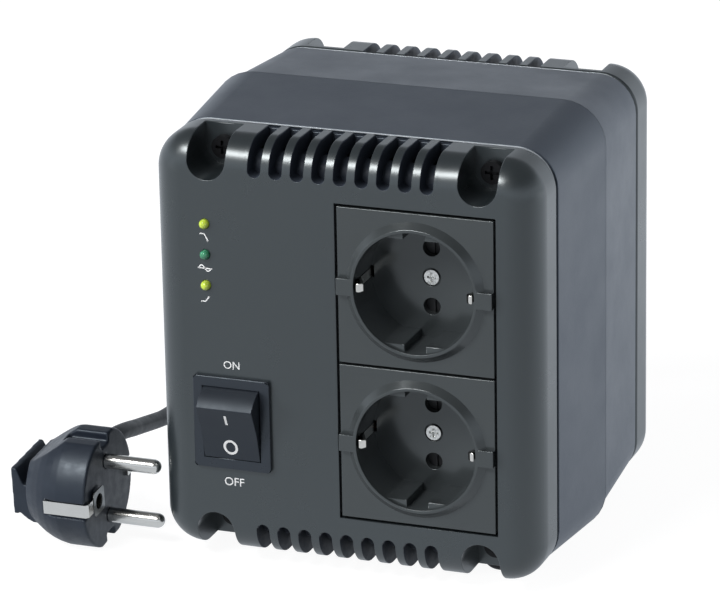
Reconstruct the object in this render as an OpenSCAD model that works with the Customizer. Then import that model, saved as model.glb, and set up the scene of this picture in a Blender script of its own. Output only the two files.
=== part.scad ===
// Mains voltage stabilizer: a moulded casing with two earthed sockets, a rocker switch, three indicators
// and a transformer inside, with a lead that ends in an angled earthed plug.
// Millimetres, +Z up, +Y to the back. The origin lies under the middle of the casing, on the feet's plane.

/* [Casing] */
// Width of the casing at its bezels
body_w = 126; // [122:1:140]
// Height of the casing at its bezels
body_h = 137; // [135:1:150]
// Depth of the casing from its front face to its rear face
body_d = 122; // [120:1:140]
// Depth of each bezel
bezel_d = 19.5; // [19:0.5:21]
// Rounding of a bezel's outer edge
edge_r = 10.5; // [9:0.5:11]
// Corner radius of a bezel seen from the front
corner_r = 12.5; // [11.5:0.5:15]
// How much each side of the housings stands out at the middle seam
belly_side = 2.6; // [1:0.2:4]
// How much the top and the bottom of the housings stand out at the middle seam
belly_rise = 3.2; // [1:0.2:4]
// Corner radius of the housings at the middle seam
belly_r = 14; // [13:0.5:18]
// Thickness of the casing walls
wall = 2.5; // [2.2:0.1:3]
// Step of the rear housing inside the front housing's rim
seam_step = 0.8; // [0.4:0.1:1.2]
// Width of the shadow groove between a bezel and its housing
groove_w = 1.3; // [0.8:0.1:2]
// Depth of the shadow groove
groove_d = 1.2; // [0.6:0.1:1.6]
// Clear height under the middle of the casing
ground_gap = 1.8; // [1.2:0.2:4]

/* [Vents] */
// Number of vent slots along the top and along the bottom of each bezel
vent_count = 9; // [5:2:9]
// Distance between neighbouring slots
vent_pitch = 7; // [6:0.1:7]
// Width of a slot
vent_w = 4.2; // [3:0.1:4.6]
// How far a slot reaches over the face from the bezel's outer edge
vent_drop = 11.3; // [10:0.1:12]
// Depth of the slots down to the baffle behind them
baffle_gap = 5.5; // [4.5:0.1:6]
// Thickness of the baffle
baffle_t = 1.6; // [1:0.1:2]

/* [Screw recesses] */
// Distance of a recess's middle from the side of the bezel
recess_side = 19; // [17:0.5:22]
// Width of a recess
recess_w = 12.5; // [11:0.5:13]
// How far a recess reaches over the face from the bezel's outer edge
recess_drop = 13.6; // [13:0.1:15]
// Thickness of the floor that a casing screw clamps
recess_floor = 2.5; // [2:0.1:3.5]
// Wall around a recess
recess_wall = 1.8; // [1.2:0.1:2]

/* [Sockets] */
// Distance of the sockets' middle from the right side of the bezel
socket_side = 39; // [38:0.5:41]
// Width of a socket module
socket_w = 50.4; // [50:0.1:51]
// Height of a socket module
socket_h = 50.3; // [49.5:0.1:50.5]
// Gap around a socket module
socket_gap = 0.8; // [0.4:0.1:1]
// Bore of a socket well
well_d = 39; // [38.5:0.25:39.5]
// Diameter of the raised rim at its front
rim_d = 40.8; // [40.2:0.2:42]
// Diameter of the raised rim at its foot
ring_d = 45; // [43:0.5:47]
// Height of the rim over the module
rim_rise = 2; // [1:0.2:2.6]
// Depth of a well from the module's face to its floor
well_depth = 15; // [14:0.5:16]
// Distance between the two pin holes of a socket, and between the plug's pins
pin_pitch = 19; // [18:0.5:20]
// Diameter of a pin hole
pin_hole_d = 5.4; // [5.2:0.1:5.8]
// Diameter of the plug's pins
pin_d = 4.8; // [4:0.1:5]

/* [Switch] */
// Distance of the switch's middle from the left side of the bezel
switch_side = 26; // [23:0.5:27]
// Distance of the switch below the middle of the face
switch_drop = 23.9; // [20:0.5:28]
// Width of the switch frame
frame_w = 25.5; // [24:0.5:27]
// Height of the switch frame
frame_h = 30.4; // [29.6:0.2:32]
// Thickness of the switch frame in front of the face
frame_t = 1.4; // [1:0.1:2]
// Width of the rocker
rocker_w = 18.6; // [18:0.1:19]
// Radius of the rocker's ends about its pivot
rocker_r = 12.2; // [11.8:0.1:12.4]
// Height of the rocker's ends over its pivot
rocker_rise = 7.3; // [6.5:0.1:8]
// Angle that the rocker leans to either side
rocker_lean = 19.3; // [12:0.1:21]

/* [Indicators] */
// Distance of the indicators from the left side of the bezel
led_side = 18.2; // [16:0.2:19]
// Height of the top indicator over the middle of the face
led_top = 40.8; // [38:0.2:42]
// Distance between neighbouring indicators
led_pitch = 10; // [9:0.25:10.5]
// Diameter of an indicator lamp
led_d = 3; // [2.8:0.1:3.4]

/* [Rear panel] */
// Distance of the cord gland from the middle of the rear panel
gland_x = 15; // [12:1:18]
// Distance of the cord gland below the middle of the rear panel
gland_drop = 46.5; // [44:0.5:48]
// Distance of the overload breaker from the middle of the rear panel
breaker_x = 30; // [25:1:34]
// Height of the breaker over the middle of the rear panel
breaker_z = 31.5; // [28:0.5:36]
// How far the breaker's button stands behind the rear panel
breaker_nose = 7.9; // [7.5:0.1:9]
// Travel of the breaker's button
button_travel = 3; // [2:0.5:4]

/* [Feet] */
// Distance of a foot's middle from the side of the bezels
foot_side = 21; // [17:1:25]
// Distance of a foot's middle from the front face or the rear face
foot_end = 31; // [28:1:34]
// Diameter of a foot
foot_d = 13; // [11:0.5:14]
// Height of a foot
foot_h = 3.4; // [3:0.1:3.6]

/* [Transformer] */
// Width of the core
core_w = 76.2; // [70:0.1:77]
// Height of the core
core_h = 63.5; // [58:0.1:66]
// Depth of the stack of core sheets
core_d = 38; // [34:0.5:40]
// Distance of the transformer from the middle of the casing
core_x = 8; // [7:0.5:9]
// Thickness of the strap that holds the core
strap_t = 1.2; // [1:0.1:1.5]

/* [Hidden] */

// Finishes
case_black = [0.15, 0.16, 0.18];
gloss_black = [0.1, 0.11, 0.12];
insert_black = [0.2, 0.21, 0.23];
rubber_black = [0.07, 0.07, 0.08];
steel_grey = [0.75, 0.76, 0.78];
brass_yellow = [0.8, 0.65, 0.35];
board_green = [0.1, 0.35, 0.2];
lamp_yellow = [0.65, 0.8, 0.2];
lamp_green = [0.05, 0.45, 0.25];
copper_red = [0.72, 0.42, 0.2];
relay_blue = [0.15, 0.3, 0.6];

// Fineness of round faces and of the lofted shells
$fn = 64;
loft_fn = 32;
// One overrun serves all cuts, and one thin slice all lofts
over = 1;
slice = 0.02;

// Places that many pieces share
front_y = -body_d / 2;
rear_y = body_d / 2;
joint_y = body_d / 2 - bezel_d;
mid_z = ground_gap + belly_rise + body_h / 2;
belly_w = body_w + 2 * belly_side;
belly_h = body_h + 2 * belly_rise;
socket_z = (socket_h + socket_gap) / 2;
window_w = socket_w + 2 * socket_gap;
window_h = 2 * socket_h + 3 * socket_gap;
casing_floor = ground_gap + belly_rise;
recess_x = body_w / 2 - recess_side;
socket_x = body_w / 2 - socket_side;
switch_x = body_w / 2 - switch_side;
led_x = body_w / 2 - led_side;
foot_x = body_w / 2 - foot_side;
foot_y = body_d / 2 - foot_end;
recess_z = body_h / 2 - recess_drop + recess_w / 2;
vent_z = body_h / 2 - vent_drop + vent_w / 2;
vent_rib = vent_pitch - vent_w;
vent_span = (vent_count - 1) * vent_pitch + vent_w + vent_rib;
baffle_back = edge_r + baffle_t;

// Casing screws
screw_r = 1.95;
screw_fit = 0.1;
screw_head_r = 3.6;
screw_head_h = 2.6;
screw_bite = 18;
front_screw_l = 18;
rear_screw_l = joint_y + recess_floor + screw_bite;
cross_w = 1;
cross_share = 0.62;
cross_depth_share = 0.55;
boss_r = 4.3;
boss_web = 2.4;
tongue_l = 4;
tongue_t = 2;
tongue_fit = 0.5;
tongue_root = 5;
tongue_out = wall + tongue_fit;
tongue_in = wall + tongue_fit + tongue_t;
pilot_r = 2;

// Feet
pad_r = foot_d / 2 + 1;
pad_h = 5;
stem_r = 2;
stem_l = 3.5;
stem_fit = 0.05;
foot_edge = 0.8;

// Socket modules
plate_t = 4.5;
flange_out = 2.4;
cup_wall = 2.5;
cup_r = well_d / 2 + cup_wall;
floor_t = 3;
floor_y = well_depth;
floor_back = well_depth + floor_t;
tab_w = 5.4;
ledge_w = 2.6;
ledge_z = well_d / 2 - ledge_w;
ledge_slot = 7;
ledge_lip = 1.2;
centre_recess_r = 2.9;
centre_recess_d = 1.6;
centre_hole_r = 1.6;
base_w = 36;
base_h = 42;
base_l = 18;
pocket_d = 2.8;
pillar_r = 2.9;
pillar_hole_r = 1.5;
contact_bore_r = 3.9;
contact_bore_l = 12.7;
tab_slot_w = 4.6;
tab_slot_h = 1.6;
shutter_gap = 0.25;
shutter_t = 2.1;
shutter_fit = 0.05;
shutter_hub_r = 4.6;
shutter_lobe_r = 3.9;
pocket_gap = 0.4;
pocket_r = pin_pitch / 2 + shutter_lobe_r + pocket_gap;
shutter_bar_w = 4.6;
shutter_step = 0.8;
contact_r = 3.4;
contact_wall = 0.9;
contact_l = 11.7;
contact_slit = 0.8;
tail_w = 4;
tail_t = 1;
tail_l = 7;
clip_in = 0.1;
clip_x = well_d / 2 - clip_in;
clip_t = 1.2;
clip_w = 3;
clip_slot_w = 3.6;
clip_slot_in = 0.5;
clip_slot_out = 0.3;
nose_root = 5;
nose_y = -0.5;
nose_in = 2.7;
nose_tip = -1.5;
nose_back = 1.1;
clip_bridge_gap = 0.2;
mini_screw_r = 1.4;
mini_head_r = 2.4;
mini_head_h = 1.8;
mini_screw_l = 14;
mini_cross_w = 0.7;

// Frame that clamps the socket modules from behind
retainer_t = 1.6;
retainer_edge = 2.8;
retainer_fit = 0.3;
post_r = 2.6;
retainer_hole_r = cup_r + retainer_fit;
retainer_screw_x = socket_w / 2 + flange_out + post_r;
retainer_screw_z = socket_z;
retainer_w = 2 * (retainer_screw_x + retainer_edge);
retainer_h = 2 * socket_h - socket_gap;
post_screw_r = 1.2;
post_pilot_r = 1.25;
small_head_r = 2.3;
small_head_h = 1.5;
small_screw_l = 4.6;

// Switch
body_fit = 0.15;
frame_lip_x = 1.85;
frame_lip_z = 1.2;
switch_body_w = frame_w - 2 * frame_lip_x;
switch_body_h = frame_h - 2 * frame_lip_z;
switch_body_d = 20;
frame_corner = 1.2;
pivot_drop = 3.6;
pocket_fit = 0.15;
rocker_side = 0.2;
rocker_valley = 6.4;
rocker_core = 4;
trunnion_r = 1.5;
trunnion_fit = 0.06;
trunnion_l = 1.3;
blade_w = 6.3;
blade_t = 0.8;
blade_l = 9;
blade_x = 5.5;
blade_z = 8.5;
blade_root = 2;

// Indicators
led_fit = 0.1;
led_flange_r = 1.95;
led_flange_h = 1;
led_proud = 0.4;
led_back = 6.5;
led_board_y = 9;
led_board_t = 1.6;
led_board_w = 13;
led_board_h = 40;
led_board_screw_z = 16.5;
led_leg = 0.5;
led_leg_x = 1.27;

// Control board on the left wall of the rear housing
board_gap = 12;
board_t = 1.6;
board_y = 2;
board_w = 38;
board_h = 74;
board_rise = 15.5;
board_margin = 4;
standoff_r = 3;
standoff_sink = 0.7;
board_x = board_gap - body_w / 2;
board_z = mid_z + board_rise - board_h / 2;
standoff_root = standoff_sink - body_w / 2;
relay_h = 16;
relay_w = 19;
relay_d = 15.5;
relay_edge = 7;
relay_y = board_y + relay_edge;
relay_z = board_z + relay_edge;
relay_pitch = 20;
relay_count = 3;
relay_lid = 0.6;
cap_r = 4;
cap_h = 12;
cap_edge = 5.5;
cap_low = 18;
cap_y = board_y + board_w - cap_edge;
cap_z = board_z + cap_low;
cap_pitch = 11;
cap_count = 3;

// Transformer
core_gap = 2.5;
core_lift = 10;
core_y = joint_y - core_d / 2 - core_gap;
core_z = casing_floor + wall + core_lift;
window_share = 1 / 6;
leg_share = 1 / 3;
winding_out = 11.2;
bobbin_t = 1.2;
bobbin_fit = 0.3;
strap_w = 30;
strap_foot = 12.5;
strap_hole_x = 6.3;
strap_screw_x = core_w / 2 + strap_t + strap_hole_x;
strap_hole_y = 10;
strap_hole_r = 2.2;
rail_w = 4;
rail_sink = 0.2;
rail_z = casing_floor + rail_sink;
rail_y = 12;
boss_sink = 0.4;
boss_floor_z = casing_floor + boss_sink;
trafo_boss_r = 4.5;
trafo_head_r = 3.6;
trafo_head_h = 2.4;
trafo_screw_r = 1.95;
trafo_screw_l = 4.2;

// Overload breaker
bush_r = 5.5;
bush_out = 4.5;
bush_fit = 0.1;
nut_r = 8;
nut_h = 2.4;
button_r = 3.3;
button_fit = 0.06;
button_dome = 1;
button_in = 9;
breaker_body_w = 15;
breaker_body_h = 24;
breaker_body_d = 22;
breaker_blade_z = 7;
button_clear = 0.5;

// Cord gland
cord_d = 5.6;
gland_hole_r = 5.6;
gland_neck_r = 5.5;
gland_flange_r = 8;
gland_flange_h = 2;
gland_in_r = 7.2;
gland_in_h = 2.6;
gland_root_r = 6.2;
gland_tip_r = 3.9;
gland_l = 30;
gland_rings = 6;
ring_groove = 0.9;

// Cord: the two free stretches have points chosen by hand, and the coil follows a formula
cord_r = cord_d / 2;
cord_sides = 8;
lead_route = [[15, 91, 27], [15, 101, 25.4], [15.5, 111, 21], [16, 120.5, 16.2], [16.7, 130, 12],
    [17, 140, 10.3]];
tail_route = [[-101, -12, 18.7], [-101.2, -5, 18], [-101.6, 3, 16.2], [-102.6, 12, 13.6],
    [-103.7, 22, 10.9], [-104.5, 32, 8.3], [-105, 42, 6], [-105.5, 50, 4.7], [-105.4, 58, 3.7],
    [-103.8, 68, 3.2], [-99.7, 78, 3], [-93.7, 88, 3], [-86.9, 98, 3], [-80, 108, 3.1], [-73.8, 118, 3.3],
    [-69.2, 128, 3.6], [-67.6, 134, 3.8], [-67, 140, 4]];
coil_x = -25;
coil_y = 146;
coil_z = 4;
coil_outer_r = 42;
coil_pitch = 6.3;
coil_layer = 6.3;
coil_turns = 5.5;
coil_climb = 0.5;
loop_rings = 24;
coil_sides = 6;
coil_straight = 6;
coil_inner_r = coil_outer_r - coil_pitch * coil_turns / 2;
tie_w = 9;
tie_t = 0.8;
tie_gap = 0.35;

// Plug
plug_x = -84.5;
plug_y = -52.2;
plug_z = 18.7;
plug_roll = 4.5;
head_flat = 18;
head_profile_shares = [[0, 0], [1, 0], [1, 0.5181], [0.9741, 0.6477], [0.9326, 0.7772],
    [0.8705, 0.9067], [0.7876, 1.0363], [0.6736, 1.1917], [0, 1.1917]];
head_side_shares = [[0.0518, -0.9326], [0.0518, 0.9326], [-0.5699, 0.9326], [-1.1399, 0.5492],
    [-1.2435, 0.5492], [-1.2435, -0.9326]];
grip_side_shares = [[-1.0363, 0.1244], [-1.2953, 0.1244], [-1.4145, 0.4197], [-1.5026, 0.4197],
    [-1.5026, -0.4197], [-1.4301, -0.4197], [-1.4093, -0.3834], [-1.2902, -0.4819],
    [-1.1658, -0.544], [-1.0363, -0.544]];
grip_w = 22.5;
grip_y = 1.2;
notch_w = 5.6;
notch_d = 3;
notch_l = 13;
head_r = 19.3;
earth_hole_r = 3.1;
earth_hole_d = 12;
earth_hole_y = 9.6;
earth_rim_r = 4;
earth_rim_h = 0.7;
earth_sleeve_t = 0.6;
earth_sleeve_fit = 0.04;
earth_clip_w = 4.4;
earth_clip_t = 0.9;
earth_clip_l = 14.5;
earth_clip_y = 18.4;
clip_bed_w = 5.4;
clip_bed_sink = 0.05;
clip_bed_y = earth_clip_y - earth_clip_t - clip_bed_sink;
clip_fold = 3.5;
strip_gap = 0.05;
pin_l = 19;
pin_root = 8;
pin_shank_r = 2.1;
pin_shank_out = 0.3;
pin_fit = 0.05;
relief_back = 16.5;
relief_root_r = 5.6;
relief_tip_r = 3.3;
relief_start = 14;
relief_l = 40.2;

// Shapes that many pieces share

// A cylinder along Y from y0 to y1
module y_cyl(r, y0, y1) {
    translate([0, y0, 0]) rotate([-90, 0, 0]) cylinder(r = r, h = y1 - y0);
}

// A cylinder along X, centred, of a given length
module x_cyl(r, length) {
    rotate([0, 90, 0]) cylinder(r = r, h = length, center = true);
}

// A flat rectangle with round corners
module round_rect(width, height, r) {
    square([width - 2 * r, height], center = true);
    square([width, height - 2 * r], center = true);
    for (sx = [-1, 1], sy = [-1, 1])
        translate([sx * (width / 2 - r), sy * (height / 2 - r)]) circle(r);
}

// A block in the XZ plane with round corners, from y0 to y1
module panel(width, height, r, y0, y1) {
    translate([0, y1, 0]) rotate([90, 0, 0]) linear_extrude(y1 - y0) round_rect(width, height, r);
}

// Outline of a bezel cut across, with its front edge rounded
module edge_profile(width, depth, r) {
    intersection() {
        union() {
            translate([-width / 2, r]) square([width, depth - r]);
            translate([-width / 2 + r, 0]) square([width - 2 * r, r]);
            for (side = [-1, 1])
                translate([side * (width / 2 - r), r]) circle(r);
        }
        translate([-width / 2, 0]) square([width, depth]);
    }
}

// Half outline of a bezel's corner, turned about the corner's own axis
module corner_profile(corner, depth, r) {
    intersection() {
        union() {
            translate([0, r]) square([corner, depth - r]);
            square([corner - r, r]);
            translate([corner - r, r]) circle(r);
        }
        square([corner, depth]);
    }
}

// A block with round corners and a rounded front edge, its front face at y = 0
module pillow(width, height, depth, corner, r) {
    rotate([-90, 0, 0]) {
        translate([0, height / 2 - corner, 0]) rotate([90, 0, 0])
            linear_extrude(height - 2 * corner) edge_profile(width, depth, r);
        translate([-(width / 2 - corner), 0, 0]) rotate([90, 0, 90])
            linear_extrude(width - 2 * corner) edge_profile(height, depth, r);
        for (sx = [-1, 1], sy = [-1, 1])
            translate([sx * (width / 2 - corner), sy * (height / 2 - corner), 0])
                rotate_extrude() corner_profile(corner, depth, r);
    }
}

// The bezel's outer form drawn in by a distance, from there back to a given depth
module inset_pillow(inset, back) {
    translate([0, inset, 0])
        pillow(body_w - 2 * inset, body_h - 2 * inset, back - inset, corner_r - inset, edge_r - inset);
}

// A shell that widens evenly between two rounded outlines
module loft(w0, h0, r0, y0, w1, h1, r1, y1) {
    hull() {
        panel(w0, h0, r0, y0, y0 + slice, $fn = loft_fn);
        panel(w1, h1, r1, y1 - slice, y1, $fn = loft_fn);
    }
}

// A screw along +Y whose head's seat lies at y = 0, with a cross in the head
module cross_screw(r, length, head_r, head_h, slot) {
    difference() {
        union() {
            y_cyl(r, 0, length);
            y_cyl(head_r, -head_h, 0);
        }
        for (a = [0, 90])
            rotate([0, a, 0])
                translate([-head_r * cross_share, -head_h - over, -slot / 2])
                    cube([2 * head_r * cross_share, head_h * cross_depth_share + over, slot]);
    }
}

// Puts a child on the front face, and another on the rear face with its back to the viewer
module on_front(x, z) {
    translate([x, front_y, mid_z + z]) children();
}
module on_rear(x, z) {
    translate([x, rear_y, mid_z + z]) children();
}

// The four places of the casing screws
module at_recesses() {
    for (sx = [-1, 1], sz = [-1, 1])
        translate([sx * recess_x, 0, sz * recess_z]) children();
}

// Bezels

// The place of one row of vents, from the face over the edge to the joint
module vent_window() {
    low = vent_z - vent_w / 2 - vent_rib;
    translate([-vent_span / 2, -over, low]) cube([vent_span, bezel_d + 2 * over, body_h / 2 - low + over]);
}

// The slots of one row, and the hollow behind the baffle
module vent_cuts() {
    difference() {
        for (i = [0 : vent_count - 1])
            translate([(i - (vent_count - 1) / 2) * vent_pitch, 0, vent_z]) {
                y_cyl(vent_w / 2, -over, baffle_back);
                translate([-vent_w / 2, -over, 0]) cube([vent_w, bezel_d + 2 * over, vent_drop + over]);
            }
        inset_pillow(baffle_gap, baffle_back);
    }
    inset_pillow(baffle_gap + baffle_t, baffle_back);
    translate([0, baffle_back - over, 0])
        panel(body_w - 2 * baffle_gap, body_h - 2 * baffle_gap, corner_r - baffle_gap, over, bezel_d);
}

// Two grilles set into the bezel, flush with its rounded edge
module vent_grilles() {
    difference() {
        intersection() {
            pillow(body_w, body_h, bezel_d, corner_r, edge_r);
            for (m = [0, 1])
                mirror([0, 0, m]) vent_window();
        }
        for (m = [0, 1])
            mirror([0, 0, m]) vent_cuts();
    }
}

// A tube that is open along its outer side, wide enough for a screwdriver
module recess_shape(width, y0, y1) {
    y_cyl(width / 2, y0, y1);
    translate([-width / 2, y0, 0]) cube([width, y1 - y0, recess_drop + over]);
}

// What the front and the rear bezel have in common
module bezel_blank() {
    difference() {
        union() {
            difference() {
                pillow(body_w, body_h, bezel_d, corner_r, edge_r);
                inset_pillow(wall, bezel_d + over);
                for (m = [0, 1])
                    mirror([0, 0, m]) vent_window();
            }
            intersection() {
                pillow(body_w, body_h, bezel_d, corner_r, edge_r);
                for (sx = [-1, 1], m = [0, 1])
                    mirror([0, 0, m]) translate([sx * recess_x, 0, recess_z])
                        recess_shape(recess_w + 2 * recess_wall, 0, bezel_d);
            }
        }
        for (sx = [-1, 1], m = [0, 1])
            mirror([0, 0, m]) translate([sx * recess_x, 0, recess_z]) {
                recess_shape(recess_w, -over, bezel_d - recess_floor);
                y_cyl(screw_r + screw_fit, 0, bezel_d + over);
            }
    }
}

module front_grilles() {
    color(gloss_black) on_front(0, 0) vent_grilles();
}

module rear_grilles() {
    color(gloss_black) on_rear(0, 0) rotate([0, 0, 180]) vent_grilles();
}

module front_bezel() {
    color(gloss_black) on_front(0, 0) difference() {
        union() {
            bezel_blank();
            for (sx = [-1, 1], sz = [-1, 1])
                translate([socket_x + sx * retainer_screw_x, 0, sz * retainer_screw_z])
                    y_cyl(post_r, wall / 2, plate_t);
            for (sz = [-1, 1])
                translate([-led_x, 0, led_top - led_pitch + sz * led_board_screw_z])
                    y_cyl(post_r, wall / 2, led_board_y);
        }
        translate([socket_x, 0, 0]) translate([-window_w / 2, -over, -window_h / 2])
            cube([window_w, wall + 2 * over, window_h]);
        for (sx = [-1, 1], sz = [-1, 1])
            translate([socket_x + sx * retainer_screw_x, 0, sz * retainer_screw_z])
                y_cyl(post_pilot_r, wall / 2, plate_t + over);
        for (sz = [-1, 1])
            translate([-led_x, 0, led_top - led_pitch + sz * led_board_screw_z])
                y_cyl(post_pilot_r, led_board_y - small_screw_l, led_board_y + over);
        translate([-switch_x, 0, -switch_drop])
            panel(switch_body_w + 2 * body_fit, switch_body_h + 2 * body_fit, frame_corner, -over,
                wall + over);
        for (i = [0 : 2])
            translate([-led_x, 0, led_top - i * led_pitch]) y_cyl(led_d / 2 + led_fit, -over, wall + over);
    }
}

module rear_bezel() {
    color(gloss_black) difference() {
        on_rear(0, 0) rotate([0, 0, 180]) bezel_blank();
        on_rear(gland_x, -gland_drop) y_cyl(gland_hole_r, -wall - over, over);
        on_rear(breaker_x, breaker_z) y_cyl(bush_r + bush_fit, -wall - over, over);
    }
}

// Housings

// A tube for a casing screw with a web up to the wall, and a flare of the wall's own slope
module screw_boss(length, web_from, web_to) {
    web_low = body_h / 2 - wall / 2 - recess_z;
    slope = belly_rise / joint_y;
    y_cyl(boss_r, 0, length);
    translate([boss_web / 2, 0, 0]) rotate([90, 0, -90]) linear_extrude(boss_web)
        polygon([[-web_from, 0], [-web_to, 0], [-web_to, web_low + slope * web_to],
            [-web_from, web_low + slope * web_from]]);
}

// The wall of a housing from its joint with the bezel to the middle seam, drawn with the joint at y = 0
module housing_shell(inset) {
    mid_w = belly_w - 2 * inset;
    mid_h = belly_h - 2 * inset;
    difference() {
        loft(body_w, body_h, corner_r, groove_w, mid_w, mid_h, belly_r - inset, joint_y);
        loft(body_w - 2 * wall, body_h - 2 * wall, corner_r - wall, -over,
            mid_w - 2 * wall, mid_h - 2 * wall, belly_r - inset - wall, joint_y + over);
    }
    difference() {
        panel(body_w - 2 * groove_d, body_h - 2 * groove_d, corner_r - groove_d, 0, groove_w + wall);
        panel(body_w - 2 * groove_d - 2 * wall, body_h - 2 * groove_d - 2 * wall,
            corner_r - groove_d - wall, -over, groove_w + wall + over);
    }
}

// A pad inside the floor of a housing that a foot sits under
module foot_pad(x, y) {
    translate([x, y, foot_h]) difference() {
        cylinder(r = pad_r, h = pad_h);
        translate([0, 0, -over]) cylinder(r = stem_r + stem_fit, h = stem_l + 2 * over);
    }
}

// Room for the stem of a foot in the wall under its pad
module foot_hole(x, y) {
    translate([x, y, -over]) cylinder(r = stem_r + stem_fit, h = foot_h + stem_l + 2 * over);
}

module front_housing() {
    color(case_black) difference() {
        union() {
            translate([0, -joint_y, mid_z]) housing_shell(0);
            for (sx = [-1, 1], m = [0, 1])
                translate([sx * recess_x, -joint_y, mid_z]) mirror([0, 0, m]) translate([0, 0, recess_z])
                    screw_boss(joint_y, 0, joint_y - tongue_l - over);
            for (sx = [-1, 1])
                foot_pad(sx * foot_x, -foot_y);
        }
        for (sx = [-1, 1])
            foot_hole(sx * foot_x, -foot_y);
        translate([0, 0, mid_z]) at_recesses() y_cyl(pilot_r, -joint_y - over, over);
    }
}

module rear_housing() {
    color(case_black) difference() {
        union() {
            translate([0, joint_y, mid_z]) rotate([0, 0, 180]) housing_shell(seam_step);
            translate([0, 0, mid_z]) difference() {
                panel(belly_w - 2 * tongue_out, belly_h - 2 * tongue_out, belly_r - tongue_out, -tongue_l,
                    tongue_root);
                panel(belly_w - 2 * tongue_in, belly_h - 2 * tongue_in, belly_r - tongue_in,
                    -tongue_l - over, tongue_root + over);
            }
            for (sx = [-1, 1], m = [0, 1])
                translate([sx * recess_x, joint_y, mid_z]) mirror([0, 0, m]) translate([0, 0, recess_z])
                    rotate([0, 0, 180]) screw_boss(joint_y, 0, joint_y - tongue_root);
            for (sx = [-1, 1])
                foot_pad(sx * foot_x, foot_y);
            for (y = [board_y + board_margin, board_y + board_w - board_margin],
                 z = [board_z + board_margin, board_z + board_h - board_margin])
                translate([standoff_root, y, z]) rotate([0, 90, 0])
                    cylinder(r = standoff_r, h = board_x - standoff_root);
            for (sy = [-1, 1]) {
                translate([core_x - core_w / 2 + rail_w, core_y + sy * rail_y - rail_w / 2, rail_z])
                    cube([core_w - 2 * rail_w, rail_w, core_z - rail_z]);
                for (sx = [-1, 1])
                    translate([core_x + sx * strap_screw_x, core_y + sy * strap_hole_y, boss_floor_z])
                        cylinder(r = trafo_boss_r, h = core_z - boss_floor_z);
            }
        }
        for (sx = [-1, 1])
            foot_hole(sx * foot_x, foot_y);
        translate([0, 0, mid_z]) at_recesses() y_cyl(screw_r + screw_fit, -over, joint_y + over);
        for (y = [board_y + board_margin, board_y + board_w - board_margin],
             z = [board_z + board_margin, board_z + board_h - board_margin])
            translate([board_x + over, y, z]) rotate([0, -90, 0])
                cylinder(r = post_pilot_r, h = small_screw_l + 2 * over);
        for (sx = [-1, 1], sy = [-1, 1])
            translate([core_x + sx * strap_screw_x, core_y + sy * strap_hole_y, core_z + strap_t])
                mirror([0, 0, 1]) cylinder(r = pilot_r, h = trafo_screw_l + over);
    }
}

module front_screws() {
    color(steel_grey) on_front(0, 0) at_recesses()
        translate([0, bezel_d - recess_floor, 0])
            cross_screw(screw_r, front_screw_l, screw_head_r, screw_head_h, cross_w);
}

module rear_screws() {
    color(steel_grey) on_rear(0, 0) rotate([0, 0, 180]) at_recesses()
        translate([0, bezel_d - recess_floor, 0])
            cross_screw(screw_r, rear_screw_l, screw_head_r, screw_head_h, cross_w);
}

// A foot: a disc with a softened lower edge and a stem in its pad
module rubber_feet() {
    color(rubber_black)
        for (sx = [-1, 1], sy = [-1, 1])
            translate([sx * foot_x, sy * foot_y, 0]) rotate_extrude()
                polygon([[0, 0], [foot_d / 2 - foot_edge, 0], [foot_d / 2, foot_edge], [foot_d / 2, foot_h],
                    [stem_r, foot_h], [stem_r, foot_h + stem_l], [0, foot_h + stem_l]]);
}

// Sockets, each drawn with its module's face at y = 0

module clip_slot(side) {
    x0 = clip_x - clip_slot_in;
    x1 = clip_x + clip_t + clip_slot_out;
    translate([side > 0 ? x0 : -x1, -rim_rise + ledge_lip, -clip_slot_w / 2])
        cube([x1 - x0, floor_back + rim_rise + over, clip_slot_w]);
}

// The open inside of a well, with the flat ledges that guide a plug left standing
module well_space() {
    difference() {
        y_cyl(well_d / 2, -rim_rise - over, floor_y);
        for (sx = [-1, 1], sz = [-1, 1])
            translate([sx * (ledge_slot + well_d) / 4, 0, sz * (ledge_z + well_d / 2) / 2])
                translate([-(well_d - ledge_slot) / 4, -rim_rise + ledge_lip, -(well_d / 2 - ledge_z) / 2])
                    cube([(well_d - ledge_slot) / 2, floor_y + rim_rise, well_d / 2 - ledge_z]);
    }
}

module socket_cover() {
    difference() {
        union() {
            translate([-socket_w / 2, 0, -socket_h / 2]) cube([socket_w, plate_t, socket_h]);
            translate([-socket_w / 2 - flange_out, wall, -socket_h / 2])
                cube([socket_w + 2 * flange_out, plate_t - wall, socket_h]);
            y_cyl(cup_r, 0, floor_back);
            translate([0, -rim_rise, 0]) rotate([-90, 0, 0])
                cylinder(r1 = rim_d / 2, r2 = ring_d / 2, h = rim_rise);
            translate([-socket_w / 2, -rim_rise, -tab_w / 2]) cube([socket_w, rim_rise + over, tab_w]);
        }
        well_space();
        for (sz = [-1, 1])
            translate([0, 0, sz * pin_pitch / 2]) y_cyl(pin_hole_d / 2, floor_y - over, floor_back + over);
        y_cyl(centre_recess_r, floor_y - over, floor_y + centre_recess_d);
        y_cyl(centre_hole_r, floor_y, floor_back + over);
        for (side = [-1, 1])
            clip_slot(side);
    }
}

module socket_base() {
    difference() {
        translate([-base_w / 2, floor_back, -base_h / 2]) cube([base_w, base_l, base_h]);
        difference() {
            y_cyl(pocket_r, floor_back - over, floor_back + pocket_d);
            y_cyl(pillar_r, floor_back - 2 * over, floor_back + pocket_d + over);
        }
        for (sz = [-1, 1])
            translate([0, 0, sz * pin_pitch / 2]) {
                y_cyl(contact_bore_r, floor_back, floor_back + pocket_d + contact_bore_l);
                translate([-tab_slot_w / 2, floor_back, -tab_slot_h / 2])
                    cube([tab_slot_w, base_l + over, tab_slot_h]);
            }
        y_cyl(pillar_hole_r, floor_back - over, floor_back + base_l + over);
    }
}

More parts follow.
